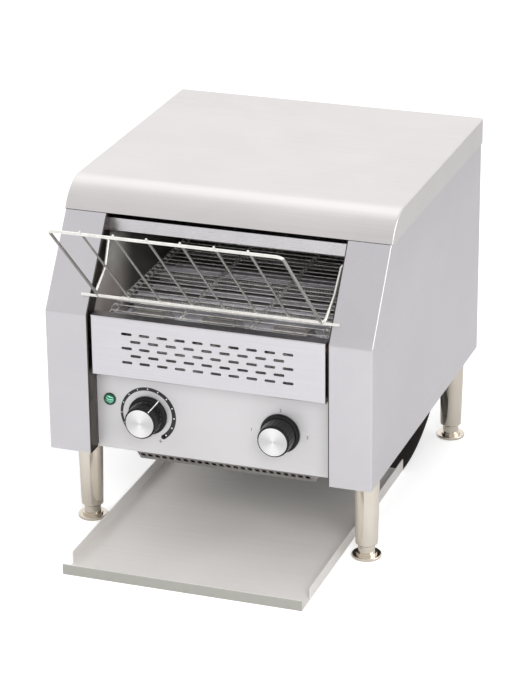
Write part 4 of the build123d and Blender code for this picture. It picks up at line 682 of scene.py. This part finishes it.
def plus_sign():
    """The plus at the band's thick end: a level bar, and a half bar above and below it."""
    arm = (PLUS_REACH - PLUS_HALF) / 2
    return [bar_outline(PLUS_X, PLUS_Z, PLUS_REACH, PLUS_HALF),
            bar_outline(PLUS_X, PLUS_Z + PLUS_HALF + arm, PLUS_HALF, arm),
            bar_outline(PLUS_X, PLUS_Z - PLUS_HALF - arm, PLUS_HALF, arm)]


def numeral(text, x, z):
    """A plain digit printed beside the mode knob."""
    curve = bpy.data.curves.new(f"mode_mark_{text}", "FONT")
    curve.body = text
    curve.size = DIGIT_SIZE / 1000
    curve.align_x, curve.align_y = "CENTER", "CENTER"
    shown = bpy.data.objects.new(f"mode_mark_{text}_text", curve)
    bpy.context.scene.collection.objects.link(shown)
    shown.rotation_euler = (math.pi / 2, 0, 0)
    shown.location = at(x, PANEL_Y - DIGIT_LIFT, z)
    bpy.context.view_layer.update()
    mesh = bpy.data.meshes.new_from_object(shown)
    mesh.transform(shown.matrix_world)
    bpy.data.objects.remove(shown)
    piece(f"mode_mark_{text}", mesh, PRINT_BLACK, "frame", smooth=False)


flat_print("dial_band", dial_band(), PRINT_BLACK, PANEL_Y - BLACK_LIFT)
flat_print("dial_dots", dial_dots(), PRINT_WHITE, PANEL_Y - WHITE_LIFT)
flat_print("dial_plus", plus_sign(), PRINT_BLACK, PANEL_Y - BLACK_LIFT)
for digit, digit_x, digit_z in DIGITS:
    numeral(digit, digit_x, digit_z)

# ---------------------------------------------------------------- pilot lamp
LAMP_X = -119.3
LAMP_Z = KNOB_Z + 13.0
LAMP_SEGMENTS = 64
LAMP_PROFILE = [(-6.0, 4.9), (1.0, 4.95), (1.7, 4.7), (2.2, 4.0), (2.5, 2.6), (2.6, 0.3)]


def lens_material():
    """Moulded green lens: pale wavy ribs painted into its colour, painted highlights where ribs
    inside catch the light; it glows faintly in the same colours.
    """
    material = surface("lamp_lens", (0.005, 0.20, 0.10), (0.02, 0.42, 0.24), 0.0, (0.05, 0.12),
                       (300, 300, 300), Coat_Weight=0.6)
    tree = material.node_tree
    shader = tree.nodes["Principled BSDF"]
    place = grown(tree, "ShaderNodeTexCoord")
    ribs = grown(tree, "ShaderNodeTexWave",
                 {"Scale": 150.0, "Distortion": 7.0, "Detail": 0.0, "Detail Scale": 1.2},
                 bands_direction="Z")
    tree.links.new(place.outputs["Object"], ribs.inputs["Vector"])
    colour = blend_colours(tree, spread(tree, ribs.outputs["Fac"], 0.0, 1.0, 0.55, 0.95),
                           (0.004, 0.16, 0.08), (0.35, 0.85, 0.62))
    tree.links.new(colour, shader.inputs["Base Color"])
    shader.inputs["Emission Strength"].default_value = 0.15
    tree.links.new(colour, shader.inputs["Emission Color"])
    return material


piece("lamp_dome", turned("lamp_dome", LAMP_PROFILE, round_own_axis, LAMP_SEGMENTS),
      lens_material(), "frame", "lamp_lens", place=at(LAMP_X, PANEL_Y, LAMP_Z))

# ---------------------------------------------------------------- floor
FLOOR_HALF = 6.0            # metres
FLOOR_COLOUR = (0.77, 0.77, 0.77, 1)
FLOOR_GLOW = 0.45           # what the camera sees on top of the lit floor


def floor_material():
    """Pale floor, white where the camera sees it away from the shadow."""
    material, tree, shader = blank("floor")
    tree.nodes.remove(shader)
    diffuse = grown(tree, "ShaderNodeBsdfDiffuse", {"Color": FLOOR_COLOUR})
    glow = grown(tree, "ShaderNodeEmission", {"Color": (1, 1, 1, 1)})
    path = grown(tree, "ShaderNodeLightPath")
    level = calculated(tree, "MULTIPLY", path.outputs["Is Camera Ray"], FLOOR_GLOW)
    tree.links.new(level, glow.inputs["Strength"])
    both = grown(tree, "ShaderNodeAddShader")
    tree.links.new(diffuse.outputs[0], both.inputs[0])
    tree.links.new(glow.outputs[0], both.inputs[1])
    tree.links.new(both.outputs[0], tree.nodes["Material Output"].inputs["Surface"])
    return material


grid = bmesh.new()
bmesh.ops.create_grid(grid, x_segments=8, y_segments=8, size=FLOOR_HALF)
floor = bpy.data.objects.new("floor", finished("floor", grid))
bpy.context.scene.collection.objects.link(floor)
floor.data.materials.append(floor_material())

# ---------------------------------------------------------------- light
FRONT_LIGHT, BACK_LIGHT = 0.84, 1.08        # what mirrors see in front of and behind the machine
FRONT_END, BACK_END = -0.7, 0.8             # Y of the directions where these two are reached
DIFFUSE_LIGHT = 0.70                        # what all other surfaces get from the world

# The studio's two brighter parts: the direction to the part, the extra light there, and the
# cosines of the angle to it at which the extra light begins and is full.
OVERHEAD = ((-0.20, 0.50, 0.84), 0.42, 0.88, 0.99)
ASIDE = ((0.894, 0.0, 0.447), 1.8, 0.90, 0.96)


def brighter_towards(tree, place, direction, extra, start, end):
    """Extra light round a direction: from none at the cosine start to all of it at end."""
    cosine = grown(tree, "ShaderNodeVectorMath", {1: direction}, operation="DOT_PRODUCT")
    tree.links.new(place, cosine.inputs[0])
    return spread(tree, cosine.outputs["Value"], 0.0, extra, start, end)


def world_light():
    """White for the camera; mirrors see a studio a little brighter behind, above and aside."""
    world = bpy.data.worlds.new("studio")
    bpy.context.scene.world = world
    world.use_nodes = True
    tree = world.node_tree
    background = tree.nodes["Background"]
    background.inputs["Color"].default_value = (1, 1, 1, 1)
    place = grown(tree, "ShaderNodeTexCoord").outputs["Generated"]
    parts = grown(tree, "ShaderNodeSeparateXYZ")
    tree.links.new(place, parts.inputs[0])
    behind = spread(tree, parts.outputs["Y"], FRONT_LIGHT, BACK_LIGHT, FRONT_END, BACK_END)
    above = brighter_towards(tree, place, *OVERHEAD)
    strip = brighter_towards(tree, place, *ASIDE)
    studio = calculated(tree, "ADD", behind, calculated(tree, "ADD", above, strip))
    path = grown(tree, "ShaderNodeLightPath")
    level = grown(tree, "ShaderNodeMix", {2: DIFFUSE_LIGHT})
    tree.links.new(path.outputs["Is Glossy Ray"], level.inputs[0])
    tree.links.new(studio, level.inputs[3])
    seen = calculated(tree, "MAXIMUM", path.outputs["Is Camera Ray"],
                      path.outputs["Is Transmission Ray"])
    final = grown(tree, "ShaderNodeMix", {3: 1.0})
    tree.links.new(seen, final.inputs[0])
    tree.links.new(level.outputs[0], final.inputs[2])
    tree.links.new(final.outputs[0], background.inputs["Strength"])


def softbox(name, place, target, size, power):
    """A rectangular lamp aimed at a target, in metres and watts, that mirrors don't show."""
    lamp_data = bpy.data.lights.new(name, "AREA")
    lamp_data.shape = "RECTANGLE"
    lamp_data.size, lamp_data.size_y = size
    lamp_data.energy = power
    lamp_object = bpy.data.objects.new(name, lamp_data)
    bpy.context.scene.collection.objects.link(lamp_object)
    lamp_object.location = place
    away = Vector(place) - Vector(target)
    lamp_object.rotation_euler = away.to_track_quat("Z", "Y").to_euler()
    lamp_object.visible_glossy = False


world_light()
softbox("key", (-2.2, -1.4, 2.2), (0, 0, 0.2), (2.2, 2.0), 18)
softbox("top", (0.2, 0.3, 2.4), (0, 0, 0.2), (2.0, 2.0), 12)
softbox("fill", (0.5, -2.6, 0.9), (0, 0, 0.15), (1.6, 1.0), 9)
softbox("mouth", (1.2, -2.0, 1.6), (0, 0, 0.25), (1.2, 1.0), 34)

# ---------------------------------------------------------------- camera
# Solved from the casing's edges in the photo.
AZIMUTH, ELEVATION, ROLL = math.radians(19.550), math.radians(22.586), math.radians(-0.547)
DISTANCE = 3148.9
TARGET = (-8.05, 200.0, 162.70)
LENS = 144.17


def photo_camera():
    """The camera of the photo."""
    back = Vector((math.sin(AZIMUTH) * math.cos(ELEVATION),
                   -math.cos(AZIMUTH) * math.cos(ELEVATION), math.sin(ELEVATION)))
    right = Vector((math.cos(AZIMUTH), math.sin(AZIMUTH), 0))
    up = back.cross(right)
    rolled_right = right * math.cos(ROLL) + up * math.sin(ROLL)
    rolled_up = up * math.cos(ROLL) - right * math.sin(ROLL)
    spot = at(*TARGET) + back * DISTANCE / 1000
    camera_data = bpy.data.cameras.new("camera")
    camera_data.lens = LENS
    camera_data.clip_start, camera_data.clip_end = 0.1, 50
    camera = bpy.data.objects.new("camera", camera_data)
    bpy.context.scene.collection.objects.link(camera)
    camera.matrix_world = Matrix((
        (rolled_right.x, rolled_up.x, back.x, spot.x),
        (rolled_right.y, rolled_up.y, back.y, spot.y),
        (rolled_right.z, rolled_up.z, back.z, spot.z),
        (0, 0, 0, 1),
    ))
    return camera


bpy.context.scene.camera = photo_camera()
bpy.context.scene.view_settings.view_transform = "Standard"
